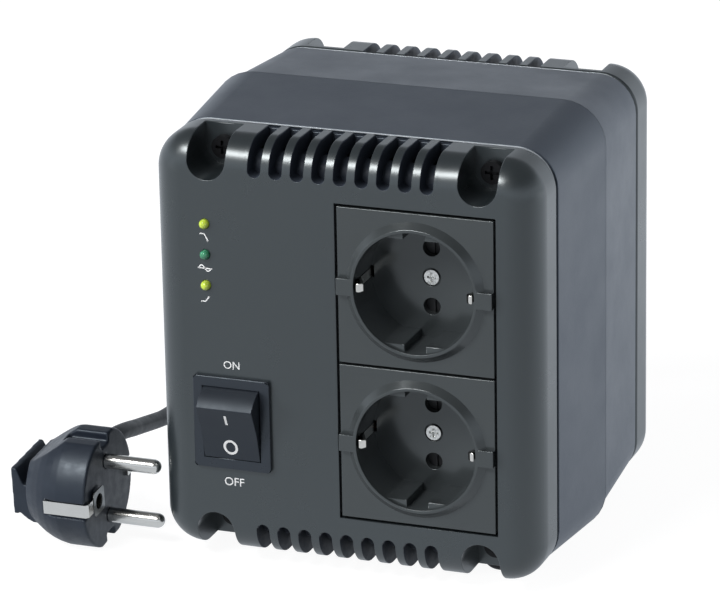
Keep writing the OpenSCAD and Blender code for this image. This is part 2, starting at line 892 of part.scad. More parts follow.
// The shutter turns on the base's pillar and closes both pin holes
module socket_shutter() {
    front = floor_back + shutter_gap;
    difference() {
        union() {
            y_cyl(shutter_hub_r, front, front + shutter_t);
            translate([-shutter_bar_w / 2, front, -pin_pitch / 2])
                cube([shutter_bar_w, shutter_t, pin_pitch]);
            for (sz = [-1, 1])
                translate([0, 0, sz * pin_pitch / 2]) y_cyl(shutter_lobe_r, front, front + shutter_t);
        }
        y_cyl(pillar_r + shutter_fit, front - over, front + shutter_t + over);
        for (sz = [-1, 1])
            translate([0, front - over, sz * pin_pitch / 2 - shutter_lobe_r])
                cube([shutter_lobe_r + over, shutter_step + over, 2 * shutter_lobe_r]);
    }
}

// A sprung sleeve for one pin, slit at the front, with a flat tail
module pin_contact() {
    start = floor_back + pocket_d + shutter_gap;
    difference() {
        union() {
            y_cyl(contact_r, start, start + contact_l);
            translate([-tail_w / 2, start + contact_l - over, -tail_t / 2])
                cube([tail_w, tail_l + over, tail_t]);
        }
        y_cyl(contact_r - contact_wall, start - over, start + contact_l - 2 * contact_wall);
        translate([-contact_r - over, start - over, -contact_slit / 2])
            cube([2 * (contact_r + over), contact_l / 2 + over, contact_slit]);
    }
}

// One strip that runs round the back of the base, with a bent nose at each side of the well
module earth_clip() {
    bridge = floor_back + base_l + clip_bridge_gap;
    translate([0, 0, -clip_w / 2]) linear_extrude(clip_w) {
        translate([-clip_x - clip_t, bridge]) square([2 * (clip_x + clip_t), clip_t]);
        for (m = [0, 1])
            mirror([m, 0])
                polygon([[clip_x, bridge + clip_t / 2], [clip_x + clip_t, bridge + clip_t / 2],
                    [clip_x + clip_t, nose_root], [clip_x + clip_t - nose_in, nose_y],
                    [clip_x + clip_t - nose_in + nose_back, nose_tip],
                    [clip_x - nose_in + nose_back, nose_tip], [clip_x - nose_in, nose_y],
                    [clip_x, nose_root]]);
    }
}

module at_socket(level) {
    on_front(socket_x, level * socket_z) children();
}

module socket_cover_upper() {
    color(insert_black) at_socket(1) socket_cover();
}

module socket_cover_lower() {
    color(insert_black) at_socket(-1) socket_cover();
}

module socket_base_upper() {
    color(case_black) at_socket(1) socket_base();
}

module socket_base_lower() {
    color(case_black) at_socket(-1) socket_base();
}

module socket_shutter_upper() {
    color(case_black) at_socket(1) socket_shutter();
}

module socket_shutter_lower() {
    color(case_black) at_socket(-1) socket_shutter();
}

module earth_clip_upper() {
    color(steel_grey) at_socket(1) earth_clip();
}

module earth_clip_lower() {
    color(steel_grey) at_socket(-1) earth_clip();
}

module pin_contacts() {
    color(brass_yellow)
        for (level = [-1, 1], sz = [-1, 1])
            at_socket(level) translate([0, 0, sz * pin_pitch / 2]) pin_contact();
}

module socket_screws() {
    color(steel_grey)
        for (level = [-1, 1])
            at_socket(level) translate([0, floor_y + centre_recess_d, 0])
                cross_screw(mini_screw_r, mini_screw_l, mini_head_r, mini_head_h, mini_cross_w);
}

module socket_retainer() {
    color(case_black) on_front(socket_x, 0) difference() {
        panel(retainer_w, retainer_h, post_r, plate_t, plate_t + retainer_t);
        for (level = [-1, 1])
            translate([0, 0, level * socket_z])
                y_cyl(retainer_hole_r, plate_t - over, plate_t + retainer_t + over);
        for (sx = [-1, 1], sz = [-1, 1])
            translate([sx * retainer_screw_x, 0, sz * retainer_screw_z])
                y_cyl(post_pilot_r, plate_t - over, plate_t + retainer_t + over);
    }
}

module retainer_screws() {
    color(steel_grey) on_front(socket_x, 0)
        for (sx = [-1, 1], sz = [-1, 1])
            translate([sx * retainer_screw_x, plate_t + retainer_t, sz * retainer_screw_z])
                rotate([0, 0, 180])
                    cross_screw(post_screw_r, small_screw_l, small_head_r, small_head_h, mini_cross_w);
}

// Switch

module switch_housing() {
    pocket_r = rocker_r + pocket_fit;
    color(gloss_black) on_front(-switch_x, -switch_drop) difference() {
        union() {
            panel(frame_w, frame_h, frame_corner, -frame_t, 0);
            panel(switch_body_w, switch_body_h, frame_corner, 0, switch_body_d);
        }
        translate([0, pivot_drop - frame_t, 0]) {
            x_cyl(pocket_r, rocker_w + 2 * rocker_side);
            x_cyl(trunnion_r + trunnion_fit, switch_body_w + 2 * over);
        }
        for (sx = [-1, 1], sz = [-1, 1])
            translate([sx * blade_x - blade_t / 2, switch_body_d - blade_root, sz * blade_z - blade_w / 2])
                cube([blade_t, blade_root + over, blade_w]);
    }
}

// The rocker at rest leans its upper end out. Its ends are round about the pivot and its face is hollow.
module switch_rocker() {
    rocker_half = sqrt(rocker_r * rocker_r - rocker_rise * rocker_rise);
    color(gloss_black) on_front(-switch_x, -switch_drop) translate([0, pivot_drop - frame_t, 0]) {
        rotate([90, 0, -90]) linear_extrude(rocker_w, center = true) rotate(-rocker_lean) intersection() {
            circle(rocker_r);
            polygon([[-rocker_core, -rocker_r], [-rocker_core, rocker_r], [rocker_rise, rocker_r],
                [rocker_rise, rocker_half], [rocker_valley, 0], [rocker_rise, -rocker_half],
                [rocker_rise, -rocker_r]]);
        }
        x_cyl(trunnion_r, rocker_w + 2 * trunnion_l);
    }
}

module switch_terminals() {
    color(steel_grey) on_front(-switch_x, -switch_drop)
        for (sx = [-1, 1], sz = [-1, 1])
            translate([sx * blade_x - blade_t / 2, switch_body_d - blade_root, sz * blade_z - blade_w / 2])
                cube([blade_t, blade_root + blade_l, blade_w]);
}

// Indicators

module led(i) {
    on_front(-led_x, led_top - i * led_pitch) {
        y_cyl(led_d / 2, -led_proud, led_back);
        translate([0, -led_proud, 0]) sphere(led_d / 2);
        y_cyl(led_flange_r, wall, wall + led_flange_h);
        for (sx = [-1, 1])
            translate([sx * led_leg_x - led_leg / 2, led_back - over, -led_leg / 2])
                cube([led_leg, led_board_y - led_back + over, led_leg]);
    }
}

module led_low() {
    color(lamp_yellow) led(0);
}

module led_normal() {
    color(lamp_green) led(1);
}

module led_high() {
    color(lamp_yellow) led(2);
}

module led_board() {
    color(board_green) on_front(-led_x, led_top - led_pitch) difference() {
        panel(led_board_w, led_board_h, post_r, led_board_y, led_board_y + led_board_t);
        for (sz = [-1, 1])
            translate([0, 0, sz * led_board_screw_z])
                y_cyl(post_pilot_r, led_board_y - over, led_board_y + led_board_t + over);
    }
}

module led_board_screws() {
    color(steel_grey) on_front(-led_x, led_top - led_pitch)
        for (sz = [-1, 1])
            translate([0, led_board_y + led_board_t, sz * led_board_screw_z]) rotate([0, 0, 180])
                cross_screw(post_screw_r, small_screw_l, small_head_r, small_head_h, mini_cross_w);
}

// Control board

module control_board() {
    color(board_green) difference() {
        translate([board_x, board_y, board_z]) cube([board_t, board_w, board_h]);
        for (y = [board_y + board_margin, board_y + board_w - board_margin],
             z = [board_z + board_margin, board_z + board_h - board_margin])
            translate([board_x - over, y, z]) rotate([0, 90, 0])
                cylinder(r = post_pilot_r, h = board_t + 2 * over);
    }
}

module relays() {
    color(relay_blue)
        for (i = [0 : relay_count - 1])
            translate([board_x + board_t, relay_y, relay_z + i * relay_pitch]) {
                cube([relay_h - relay_lid, relay_w, relay_d]);
                translate([0, relay_lid, relay_lid])
                    cube([relay_h, relay_w - 2 * relay_lid, relay_d - 2 * relay_lid]);
            }
}

module capacitors() {
    color(rubber_black)
        for (i = [0 : cap_count - 1])
            translate([board_x + board_t, cap_y, cap_z + i * cap_pitch]) rotate([0, 90, 0])
                cylinder(r = cap_r, h = cap_h);
}

module board_screws() {
    color(steel_grey)
        for (y = [board_y + board_margin, board_y + board_w - board_margin],
             z = [board_z + board_margin, board_z + board_h - board_margin])
            translate([board_x + board_t, y, z]) rotate([0, 0, 90])
                cross_screw(post_screw_r, small_screw_l, small_head_r, small_head_h, mini_cross_w);
}

// Transformer

module transformer_core() {
    window_w = core_w * window_share;
    leg_w = core_w * leg_share;
    color(steel_grey) translate([core_x, core_y, core_z]) difference() {
        translate([-core_w / 2, -core_d / 2, 0]) cube([core_w, core_d, core_h]);
        for (sx = [-1, 1])
            translate([sx * (leg_w + window_w) / 2, 0, core_h / 2])
                cube([window_w, core_d + 2 * over, core_h - 2 * window_w], center = true);
    }
}

// The hollow block between two sizes around the core's middle leg
module winding_ring(out_w, out_d, in_w, in_d, height) {
    difference() {
        cube([out_w, out_d, height], center = true);
        cube([in_w, in_d, height + 2 * over], center = true);
    }
}

module transformer_bobbin() {
    leg_w = core_w * leg_share + 2 * bobbin_fit;
    leg_d = core_d + 2 * bobbin_fit;
    tall = core_h - 2 * core_w * window_share - 2 * bobbin_fit;
    flange_w = leg_w + 2 * winding_out;
    flange_d = leg_d + 2 * winding_out;
    color(rubber_black) translate([core_x, core_y, core_z + core_h / 2]) {
        winding_ring(leg_w + 2 * bobbin_t, leg_d + 2 * bobbin_t, leg_w, leg_d, tall);
        for (sz = [-1, 1])
            translate([0, 0, sz * (tall - bobbin_t) / 2])
                winding_ring(flange_w, flange_d, leg_w, leg_d, bobbin_t);
    }
}

module transformer_winding() {
    in_w = core_w * leg_share + 2 * (bobbin_fit + bobbin_t);
    in_d = core_d + 2 * (bobbin_fit + bobbin_t);
    tall = core_h - 2 * core_w * window_share - 2 * (bobbin_fit + bobbin_t);
    out = winding_out - bobbin_t - bobbin_fit;
    color(copper_red) translate([core_x, core_y, core_z + core_h / 2])
        winding_ring(in_w + 2 * out, in_d + 2 * out, in_w, in_d, tall);
}

// A steel strap over the core, with a foot at each side
module transformer_strap() {
    side_x = core_w / 2;
    color(steel_grey) translate([core_x, core_y, core_z]) difference() {
        union() {
            translate([-side_x - strap_t, -strap_w / 2, core_h])
                cube([core_w + 2 * strap_t, strap_w, strap_t]);
            for (m = [0, 1])
                mirror([m, 0, 0]) {
                    translate([side_x, -strap_w / 2, 0]) cube([strap_t, strap_w, core_h + strap_t]);
                    translate([side_x, -strap_w / 2, 0]) cube([strap_foot, strap_w, strap_t]);
                }
        }
        for (sx = [-1, 1], sy = [-1, 1])
            translate([sx * strap_screw_x, sy * strap_hole_y, -over])
                cylinder(r = strap_hole_r, h = strap_t + 2 * over);
    }
}

module transformer_screws() {
    color(steel_grey)
        for (sx = [-1, 1], sy = [-1, 1])
            translate([core_x + sx * strap_screw_x, core_y + sy * strap_hole_y, core_z + strap_t])
                rotate([-90, 0, 0])
                cross_screw(trafo_screw_r, trafo_screw_l, trafo_head_r, trafo_head_h, cross_w);
}

// Overload breaker in the rear panel

module breaker_body() {
    bore_r = button_r + button_fit;
    color(case_black) on_rear(breaker_x, breaker_z) difference() {
        union() {
            y_cyl(bush_r, -wall, bush_out);
            translate([-breaker_body_w / 2, -wall - breaker_body_d, -breaker_body_h / 2])
                cube([breaker_body_w, breaker_body_d, breaker_body_h]);
        }
        y_cyl(bore_r, bush_out - button_in - button_travel - button_clear, bush_out + over);
        for (sz = [-1, 1])
            translate([-blade_w / 2, -wall - breaker_body_d - over, sz * breaker_blade_z - blade_t / 2])
                cube([blade_w, blade_root + over, blade_t]);
    }
}

module breaker_nut() {
    color(steel_grey) on_rear(breaker_x, breaker_z) difference() {
        translate([0, 0, 0]) rotate([-90, 0, 0]) cylinder(r = nut_r, h = nut_h, $fn = 6);
        y_cyl(bush_r + bush_fit, -over, nut_h + over);
    }
}

module breaker_button() {
    color(rubber_black) on_rear(breaker_x, breaker_z) rotate([-90, 0, 0]) rotate_extrude()
        polygon([[0, bush_out - button_in], [button_r, bush_out - button_in],
            [button_r, breaker_nose - button_dome], [button_r - button_dome, breaker_nose],
            [0, breaker_nose]]);
}

module breaker_terminals() {
    color(steel_grey) on_rear(breaker_x, breaker_z)
        for (sz = [-1, 1])
            translate([-blade_w / 2, -wall - breaker_body_d - blade_l, sz * breaker_blade_z - blade_t / 2])
                cube([blade_w, blade_l + blade_root, blade_t]);
}

// Lead

// A sleeve that thins towards its tip, with even grooves around it
module taper(root_r, tip_r, length, grooves) {
    step = length / (2 * grooves + 1);
    function radius(y) = root_r + (tip_r - root_r) * y / length;
    rotate([-90, 0, 0]) rotate_extrude()
        polygon(concat([[0, 0], [root_r, 0]],
            [for (i = [1 : grooves]) each [[radius((2 * i - 1) * step), (2 * i - 1) * step],
                [radius((2 * i - 1) * step) - ring_groove, (2 * i - 1) * step],
                [radius(2 * i * step) - ring_groove, 2 * i * step], [radius(2 * i * step), 2 * i * step]]],
            [[tip_r, length], [0, length]]));
}

module cord_gland() {
    color(rubber_black) on_rear(gland_x, -gland_drop) {
        y_cyl(gland_neck_r, -wall, gland_flange_h);
        y_cyl(gland_flange_r, 0, gland_flange_h);
        y_cyl(gland_in_r, -wall - gland_in_h, -wall);
        translate([0, gland_flange_h, 0])
            taper(gland_root_r, gland_tip_r, gland_l - gland_flange_h, gland_rings);
    }
}

function unit(v) = v / norm(v);

// A ring of points about c, square to the direction t, with a flat side down
function ring(c, t, r, sides) = let (s = unit(cross(t, [0, 0, 1])), u = cross(s, t))
    [for (k = [0 : sides - 1]) let (a = 360 * (k + 0.5) / sides) c + r * (cos(a) * s + sin(a) * u)];

// A round tube along a route, whose end faces are square to the directions t0 and t1
module tube(route, r, sides, t0, t1) {
    last = len(route) - 1;
    function heading(i) = i == 0 ? t0 : i == last ? t1 : unit(route[i + 1] - route[i - 1]);
    points = [for (i = [0 : last]) each ring(route[i], heading(i), r, sides)];
    walls = [for (i = [0 : last - 1], k = [0 : sides - 1])
        let (a = i * sides + k, b = i * sides + (k + 1) % sides)
            each [[a, b, a + sides], [b, b + sides, a + sides]]];
    end = last * sides;
    caps = [for (k = [1 : sides - 2]) each [[0, k + 1, k], [end, end + k, end + k + 1]]];
    polyhedron(points, concat(walls, caps));
}

module cord_lead() {
    color(rubber_black) tube(lead_route, cord_r, cord_sides, [0, 1, 0], [0, 1, 0]);
}

module cord_tail() {
    color(rubber_black) tube(tail_route, cord_r, cord_sides, [0, 1, 0], [0, 1, 0]);
}

// The coil winds inwards on the floor, climbs at its middle turn and winds outwards on top
function coil_point(t) = let (
        a = 180 - 360 * t,
        r = coil_inner_r + coil_pitch * abs(t - coil_turns / 2),
        up = min(1, max(0, (t - coil_turns / 2) / coil_climb + 0.5)))
    [coil_x + r * cos(a), coil_y + r * sin(a), coil_z + coil_layer * (1 - cos(180 * up)) / 2];
coil_rings = coil_turns * loop_rings;
coil_route = concat([coil_point(0) - [0, coil_straight, 0]],
    [for (i = [0 : coil_rings]) coil_point(i / loop_rings)],
    [coil_point(coil_turns) - [0, coil_straight, 0]]);
coil_gap = min([for (i = [0 : coil_rings - loop_rings / 2], j = [i + loop_rings / 2 : coil_rings])
    norm(coil_point(i / loop_rings) - coil_point(j / loop_rings))]) - 2 * cord_r;

module cord_coil() {
    color(rubber_black) tube(coil_route, cord_r, coil_sides, [0, 1, 0], [0, -1, 0]);
}

// A strap around all the turns of the coil
module cord_tie() {
    inner = coil_inner_r - cord_r - 2 * tie_gap;
    outer = coil_outer_r + cord_r + 2 * tie_gap;
    low = coil_z - cord_r - tie_gap;
    high = coil_z + coil_layer + cord_r + tie_gap;
    color(insert_black) translate([coil_x - tie_w / 2, coil_y, 0]) difference() {
        translate([0, -outer - tie_t, low - tie_t])
            cube([tie_w, outer - inner + 2 * tie_t, high - low + 2 * tie_t]);
        translate([-over, -outer, low]) cube([tie_w + 2 * over, outer - inner, high - low]);
    }
}

// Plug, drawn with its face at x = 0 and its pins towards +X. It lies a little rolled about its pins.

module at_plug(roll) {
    translate([plug_x, plug_y, plug_z]) rotate([roll, 0, 0]) children();
}

// Puts a child at one place along the plug with its axis towards +X
module plug_round(x, y, z) {
    translate([x, y, z]) rotate([0, 90, 0]) children();
}

module plug_head() {
    difference() {
        union() {
            intersection() {
                rotate([0, -90, 0]) rotate_extrude() polygon(head_r * head_profile_shares);
                rotate([90, 0, 0]) linear_extrude(2 * head_r + over, center = true)
                    polygon(head_r * head_side_shares);
            }
            translate([0, grip_y, 0]) rotate([90, 0, 0]) linear_extrude(grip_w, center = true)
                polygon(head_r * grip_side_shares);
            plug_round(0, -earth_hole_y, 0) cylinder(r = earth_rim_r, h = earth_rim_h);
        }
        for (sz = [-1, 1]) {
            translate([-notch_l, -notch_w / 2, sz > 0 ? head_flat - notch_d : -head_flat - over])
                cube([notch_l + over, notch_w, notch_d + over]);
            plug_round(-pin_root, 0, sz * pin_pitch / 2)
                cylinder(r = pin_shank_r + pin_fit, h = pin_root + over);
        }
        plug_round(-earth_hole_d, -earth_hole_y, 0) cylinder(r = earth_hole_r, h = earth_hole_d + 2 * over);
    }
}

module plug_body() {
    color(rubber_black) difference() {
        union() {
            at_plug(plug_roll) plug_head();
            at_plug(0) translate([-relief_back, 0, 0]) rotate([-90, 0, 0]) rotate_extrude()
                polygon([[0, 0], [relief_root_r, 0], [relief_root_r, relief_start],
                    [relief_tip_r, relief_l], [0, relief_l]]);
        }
        at_plug(plug_roll)
            for (sy = [-1, 1])
                translate([-earth_clip_l, sy > 0 ? clip_bed_y : -clip_bed_y - 2 * over, -clip_bed_w / 2])
                    cube([earth_clip_l + over, 2 * over, clip_bed_w]);
    }
}

module plug_pins() {
    color(steel_grey) at_plug(plug_roll)
        for (sz = [-1, 1]) {
            plug_round(-pin_root, 0, sz * pin_pitch / 2)
                cylinder(r = pin_shank_r, h = pin_root + 2 * pin_shank_out);
            plug_round(pin_shank_out, 0, sz * pin_pitch / 2)
                cylinder(r = pin_d / 2, h = pin_l - pin_d / 2 - pin_shank_out);
            plug_round(pin_l - pin_d / 2, 0, sz * pin_pitch / 2) sphere(pin_d / 2);
        }
}

// The two earth strips of the plug, each folded over the face, and the sleeve for an earth pin
module plug_earth_clips() {
    strip_l = earth_clip_l - strip_gap;
    strip_y = earth_clip_y - earth_clip_t;
    color(steel_grey) at_plug(plug_roll) {
        for (m = [0, 1])
            mirror([0, m, 0]) translate([0, 0, -earth_clip_w / 2]) linear_extrude(earth_clip_w)
                polygon([[-strip_l, strip_y], [strip_gap, strip_y], [strip_gap, strip_y - clip_fold],
                    [earth_clip_t, strip_y - clip_fold], [earth_clip_t, earth_clip_y - earth_clip_t],
                    [0, earth_clip_y], [-strip_l, earth_clip_y]]);
        difference() {
            plug_round(strip_gap - earth_hole_d, -earth_hole_y, 0)
                cylinder(r = earth_hole_r - earth_sleeve_fit, h = earth_hole_d + earth_rim_h);
            plug_round(earth_sleeve_t - earth_hole_d, -earth_hole_y, 0)
                cylinder(r = earth_hole_r - earth_sleeve_t, h = earth_hole_d + 2 * earth_rim_h);
        }
    }
}

echo(coil_gap = coil_gap);
front_bezel();
front_grilles();
rear_bezel();
rear_grilles();
front_housing();
rear_housing();
front_screws();
rear_screws();
rubber_feet();
socket_cover_upper();
socket_cover_lower();
socket_base_upper();
socket_base_lower();
socket_shutter_upper();
socket_shutter_lower();
earth_clip_upper();
earth_clip_lower();
pin_contacts();
socket_screws();
socket_retainer();
retainer_screws();
switch_housing();
switch_rocker();
switch_terminals();
led_low();
led_normal();
led_high();
led_board();
led_board_screws();
control_board();
relays();
capacitors();
board_screws();
transformer_core();
transformer_bobbin();
transformer_winding();
transformer_strap();
transformer_screws();
breaker_body();
breaker_nut();
breaker_button();
breaker_terminals();
cord_gland();
cord_lead();
cord_coil();
cord_tie();
cord_tail();
plug_body();
plug_pins();
plug_earth_clips();
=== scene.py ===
"""Looks of a mains voltage stabilizer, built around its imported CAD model.

Every length is in metres, in the CAD model's own frame: +Z up, +Y to the back, the feet on z = 0. The values of the
plug, the lead and the signs are in millimetres, as their comments say, and are scaled where they are used.
"""

import math

import bmesh
import bpy
import numpy as np
from mathutils import Matrix, Vector


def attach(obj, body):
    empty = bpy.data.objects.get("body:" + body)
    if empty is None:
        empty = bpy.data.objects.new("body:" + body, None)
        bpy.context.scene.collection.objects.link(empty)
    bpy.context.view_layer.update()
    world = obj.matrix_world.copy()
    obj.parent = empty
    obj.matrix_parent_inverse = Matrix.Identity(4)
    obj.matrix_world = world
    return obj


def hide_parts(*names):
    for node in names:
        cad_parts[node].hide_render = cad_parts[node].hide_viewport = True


bl_info = {
    "name": "Voltage stabilizer",
    "version": (1, 0, 0),
    "blender": (4, 5, 0),
    "location": "3D View > Sidebar > Stabilizer",
    "description": "Dresses the packed stabilizer: casing, sockets, switch, lamps, lead and plug",
    "category": "Add Mesh",
}

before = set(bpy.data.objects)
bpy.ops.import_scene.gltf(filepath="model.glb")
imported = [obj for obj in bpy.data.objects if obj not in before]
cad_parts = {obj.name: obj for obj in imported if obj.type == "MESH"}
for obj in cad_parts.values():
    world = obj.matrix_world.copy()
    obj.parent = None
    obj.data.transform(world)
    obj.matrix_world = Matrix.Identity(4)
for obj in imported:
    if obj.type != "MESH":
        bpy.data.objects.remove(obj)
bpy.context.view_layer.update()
MM = 0.001

# The casing: its front face, the middle of its height, the bezels' rims, and each grille's half width and inner end
FACE_Y = -0.061
MIDDLE_Z = 0.0735
RIM_Y = 0.0415
GRILLE_X = 0.0315
GRILLE_Z = 0.0544

# Points inside the casing, the sockets and the switch that their outer edges look away from
CASING_CENTRE = (0, 0, MIDDLE_Z)
SOCKET_CENTRES = (("upper", (0.0239, -0.03, 0.09905)), ("lower", (0.0239, -0.03, 0.04795)))
SWITCH_CENTRE = (-0.037, -0.03, 0.048)

# How near points are one point, also in print, faces are one flat face, and a corner lies on a grille's border or
# at a rim
MERGE = 2e-6
PRINT_MERGE = 1e-7
FLAT_ANGLE = math.radians(0.6)
ON_BORDER = 1.5e-4
PAST_BORDER = 2e-4
AT_RIM = 1e-4

# The turn between two faces that makes their edge sharp, and how far a face looks towards or away from the centre
SHARP_ANGLE = math.radians(34)
LOOKS_BACK = -0.62
LOOKS_OUT = 0.5

# A socket's softened edges against the casing's, and the depth from which a vent's faces get painted shade: a duller
# copy of the casing plastic
SOCKET_EDGE_SHARE = 0.8
VENT_SHADE_DEPTH = 0.0012

# Colour cast of the light that the black mouldings throw back, and of the backdrop that gloss and metal show
COOL = (0.93, 0.99, 1.0)
BLUISH = (0.82, 0.92, 1.0)
MIRRORED = (0.86, 0.92, 1.0, 1.0)
WHITE = (1, 1, 1, 1)
SKY_COLOUR = (0.93, 0.96, 1.0, 1)
FLOOR_COLOUR = (0.22, 0.222, 0.226, 1)

# Most of a noise lies between these values, and the gloss drifts over patches this many times finer than the colour
NOISE_RANGE = (0.3, 0.7)
HANDLING_FINER = 3.3
COAT_ROUGH = 0.1

# The camera's place, and its azimuth, elevation and roll in degrees
CAMERA_AT = (0.4717, -1.2954, 0.5589)
CAMERA_TURN = (20.671, 19.475, -1.060)
SENSOR_WIDTH = 36.0
CAMERA_CLIP = (0.01, 50.0)

# The point that the lamps face, and each lamp's name, place and size
LAMP_TARGET = Vector((0, 0, 0.07))
LAMPS = (
    ("key_lamp", (-0.55, -1.0, 1.15), (0.9, 0.34)),
    ("left_lamp", (-1.45, -1.0, 0.3), (0.6, 0.5)),
    ("side_lamp", (1.6, 0.9, 0.14), (1.0, 0.5)),
)

# Half the floor's side, the depths between which it brightens in gloss, and the slopes of view between which the
# backdrop fades into the ceiling
FLOOR_REACH = 6.0
FLOOR_SWEEP = (-0.35, 0.35)
BACKDROP_FADE = (0.20, 0.60)

# The housing's lip in the seam behind each bezel: half width, half height and corner radius of its centreline. It
# stands flush along the top and bottom and lies deeper at the sides, where the seam is dark. Its pale colour is a
# painted highlight, the bright line along the seam.
LIP = (0.0621, 0.06825, 0.01225)
LIP_Y = 0.0407
LIP_CORNER_POINTS = 17
LIP_SIDES = 12

# Where the plug lies, its roll about its pins, its earth hole, and the plate round that hole, in millimetres
PLUG_AT = (-84.5, -52.2, 18.7)
PLUG_ROLL = 4.5
EARTH_HOLE_Y = 9.6
PLATE_HALF = 4.1
PLATE_CORNER = 5.2
PLATE_HOLE = 2.55
PLATE_BACK = 0.72
PLATE_FRONT = 1.1
PLATE_POINTS = 48

# The plug's skin: the size of its cells, in metres, and how much they are evened out
PLUG_VOXEL = 0.00042
PLUG_RELAX = 0.5
PLUG_RELAX_ROUNDS = 4

# Points of the lead's two free stretches, and the coil between them, in millimetres
LEAD_ROUTE = ((15, 91, 27), (15, 101, 25.4), (15.5, 111, 21), (16, 120.5, 16.2), (16.7, 130, 12), (17, 140, 10.3))
TAIL_ROUTE = (
    (-67, 140, 4), (-67.6, 134, 3.8), (-69.2, 128, 3.6), (-73.8, 118, 3.3), (-80, 108, 3.1), (-86.9, 98, 3),
    (-93.7, 88, 3), (-99.7, 78, 3), (-103.8, 68, 3.2), (-105.4, 58, 3.7), (-105.5, 50, 4.7), (-105, 42, 6),
    (-104.5, 32, 8.3), (-103.7, 22, 10.9), (-102.6, 12, 13.6), (-101.6, 3, 16.2), (-101.2, -5, 18), (-101, -12, 18.7),
)
COIL_CENTRE = (-25, 146, 4)
COIL_OUTER = 42
COIL_PITCH = 6.3
COIL_LAYER = 6.3
COIL_TURNS = 5.5
COIL_CLIMB = 0.5

# Points of a coil's turn and of a route's span, the step along a route in millimetres, and the least step in metres
TURN_POINTS = 60
SPAN_POINTS = 60
ROUTE_STEP = 2.5
LEAST_STEP = 2e-4

# The words by the switch: piece, text, place across and up, and height of the capitals
WORDS = (("word_on", "ON", -0.0370, 0.0687, 0.0025), ("word_off", "OFF", -0.0371, 0.0298, 0.0027))

# The rocker's hollow face at rest, in its middle: the upper end, the valley and the lower end
ROCKER_TOP = Vector((-0.037, -0.06892, 0.05641))
ROCKER_VALLEY = Vector((-0.037, -0.06484, 0.04748))
ROCKER_LOW = Vector((-0.037, -0.06246, 0.03796))

# The rocker's signs: the bar's half length, the ring's half width and half height, the width of each one's stroke,
# and how far each lies along its half of the face
BAR_HALF = 0.0019
BAR_STROKE = 0.00078
BAR_SHARE = 0.57
RING_HALF = (0.0020, 0.0023)
RING_STROKE = 0.00082
RING_SHARE = 0.46
RING_POINTS = 49

# The signs beside the lamps, in millimetres: piece, place across and above the casing's middle, and the strokes
WAVE = np.linspace(-1, 1, 21)
SIGN_STROKE = 0.36
SIGNS = (
    ("sign_low", -44.95, 36.5, (
        [(-1.5, 0.9), (-1.1, 1.15), (0.05, 1.0), (1.05, -0.7), (1.35, -1.2)],
        [(0.85, -1.1), (1.35, -1.2)],
    )),
    ("sign_normal", -45.0, 26.35, (
        np.stack([2.1 * WAVE, 0.95 * np.sin(math.pi * (WAVE + 1))], -1),
        [(-2.4, 0.0), (2.4, -0.05)],
    )),
    ("sign_high", -45.1, 16.2, (
        [(-1.45, -0.75), (0.0, -0.7), (1.0, 0.45), (1.45, 0.95)],
        [(0.85, 0.75), (1.45, 0.95)],
    )),
)


# ------------------------------------------------------------------ settings


def length_prop(name, description, default, low=0.0, high=0.01):
    """A length in metres that the panel shows in the scene's own unit."""
    return bpy.props.FloatProperty(
        name=name, description=description, default=default, min=low, max=high, precision=5, subtype="DISTANCE",
        unit="LENGTH",
    )


def colour_prop(name, description, default):
    """A linear colour."""
    return bpy.props.FloatVectorProperty(
        name=name, description=description, default=default, size=3, min=0.0, max=1.0, subtype="COLOR"
    )


def power_prop(name, description, default):
    """A lamp's power."""
    return bpy.props.FloatProperty(
        name=name, description=description, default=default, min=0, subtype="POWER", unit="POWER"
    )


def bright_prop(name, description, default, high=1):
    """A brightness, where 1 is white."""
    return bpy.props.FloatProperty(name=name, description=description, default=default, min=0, max=high)


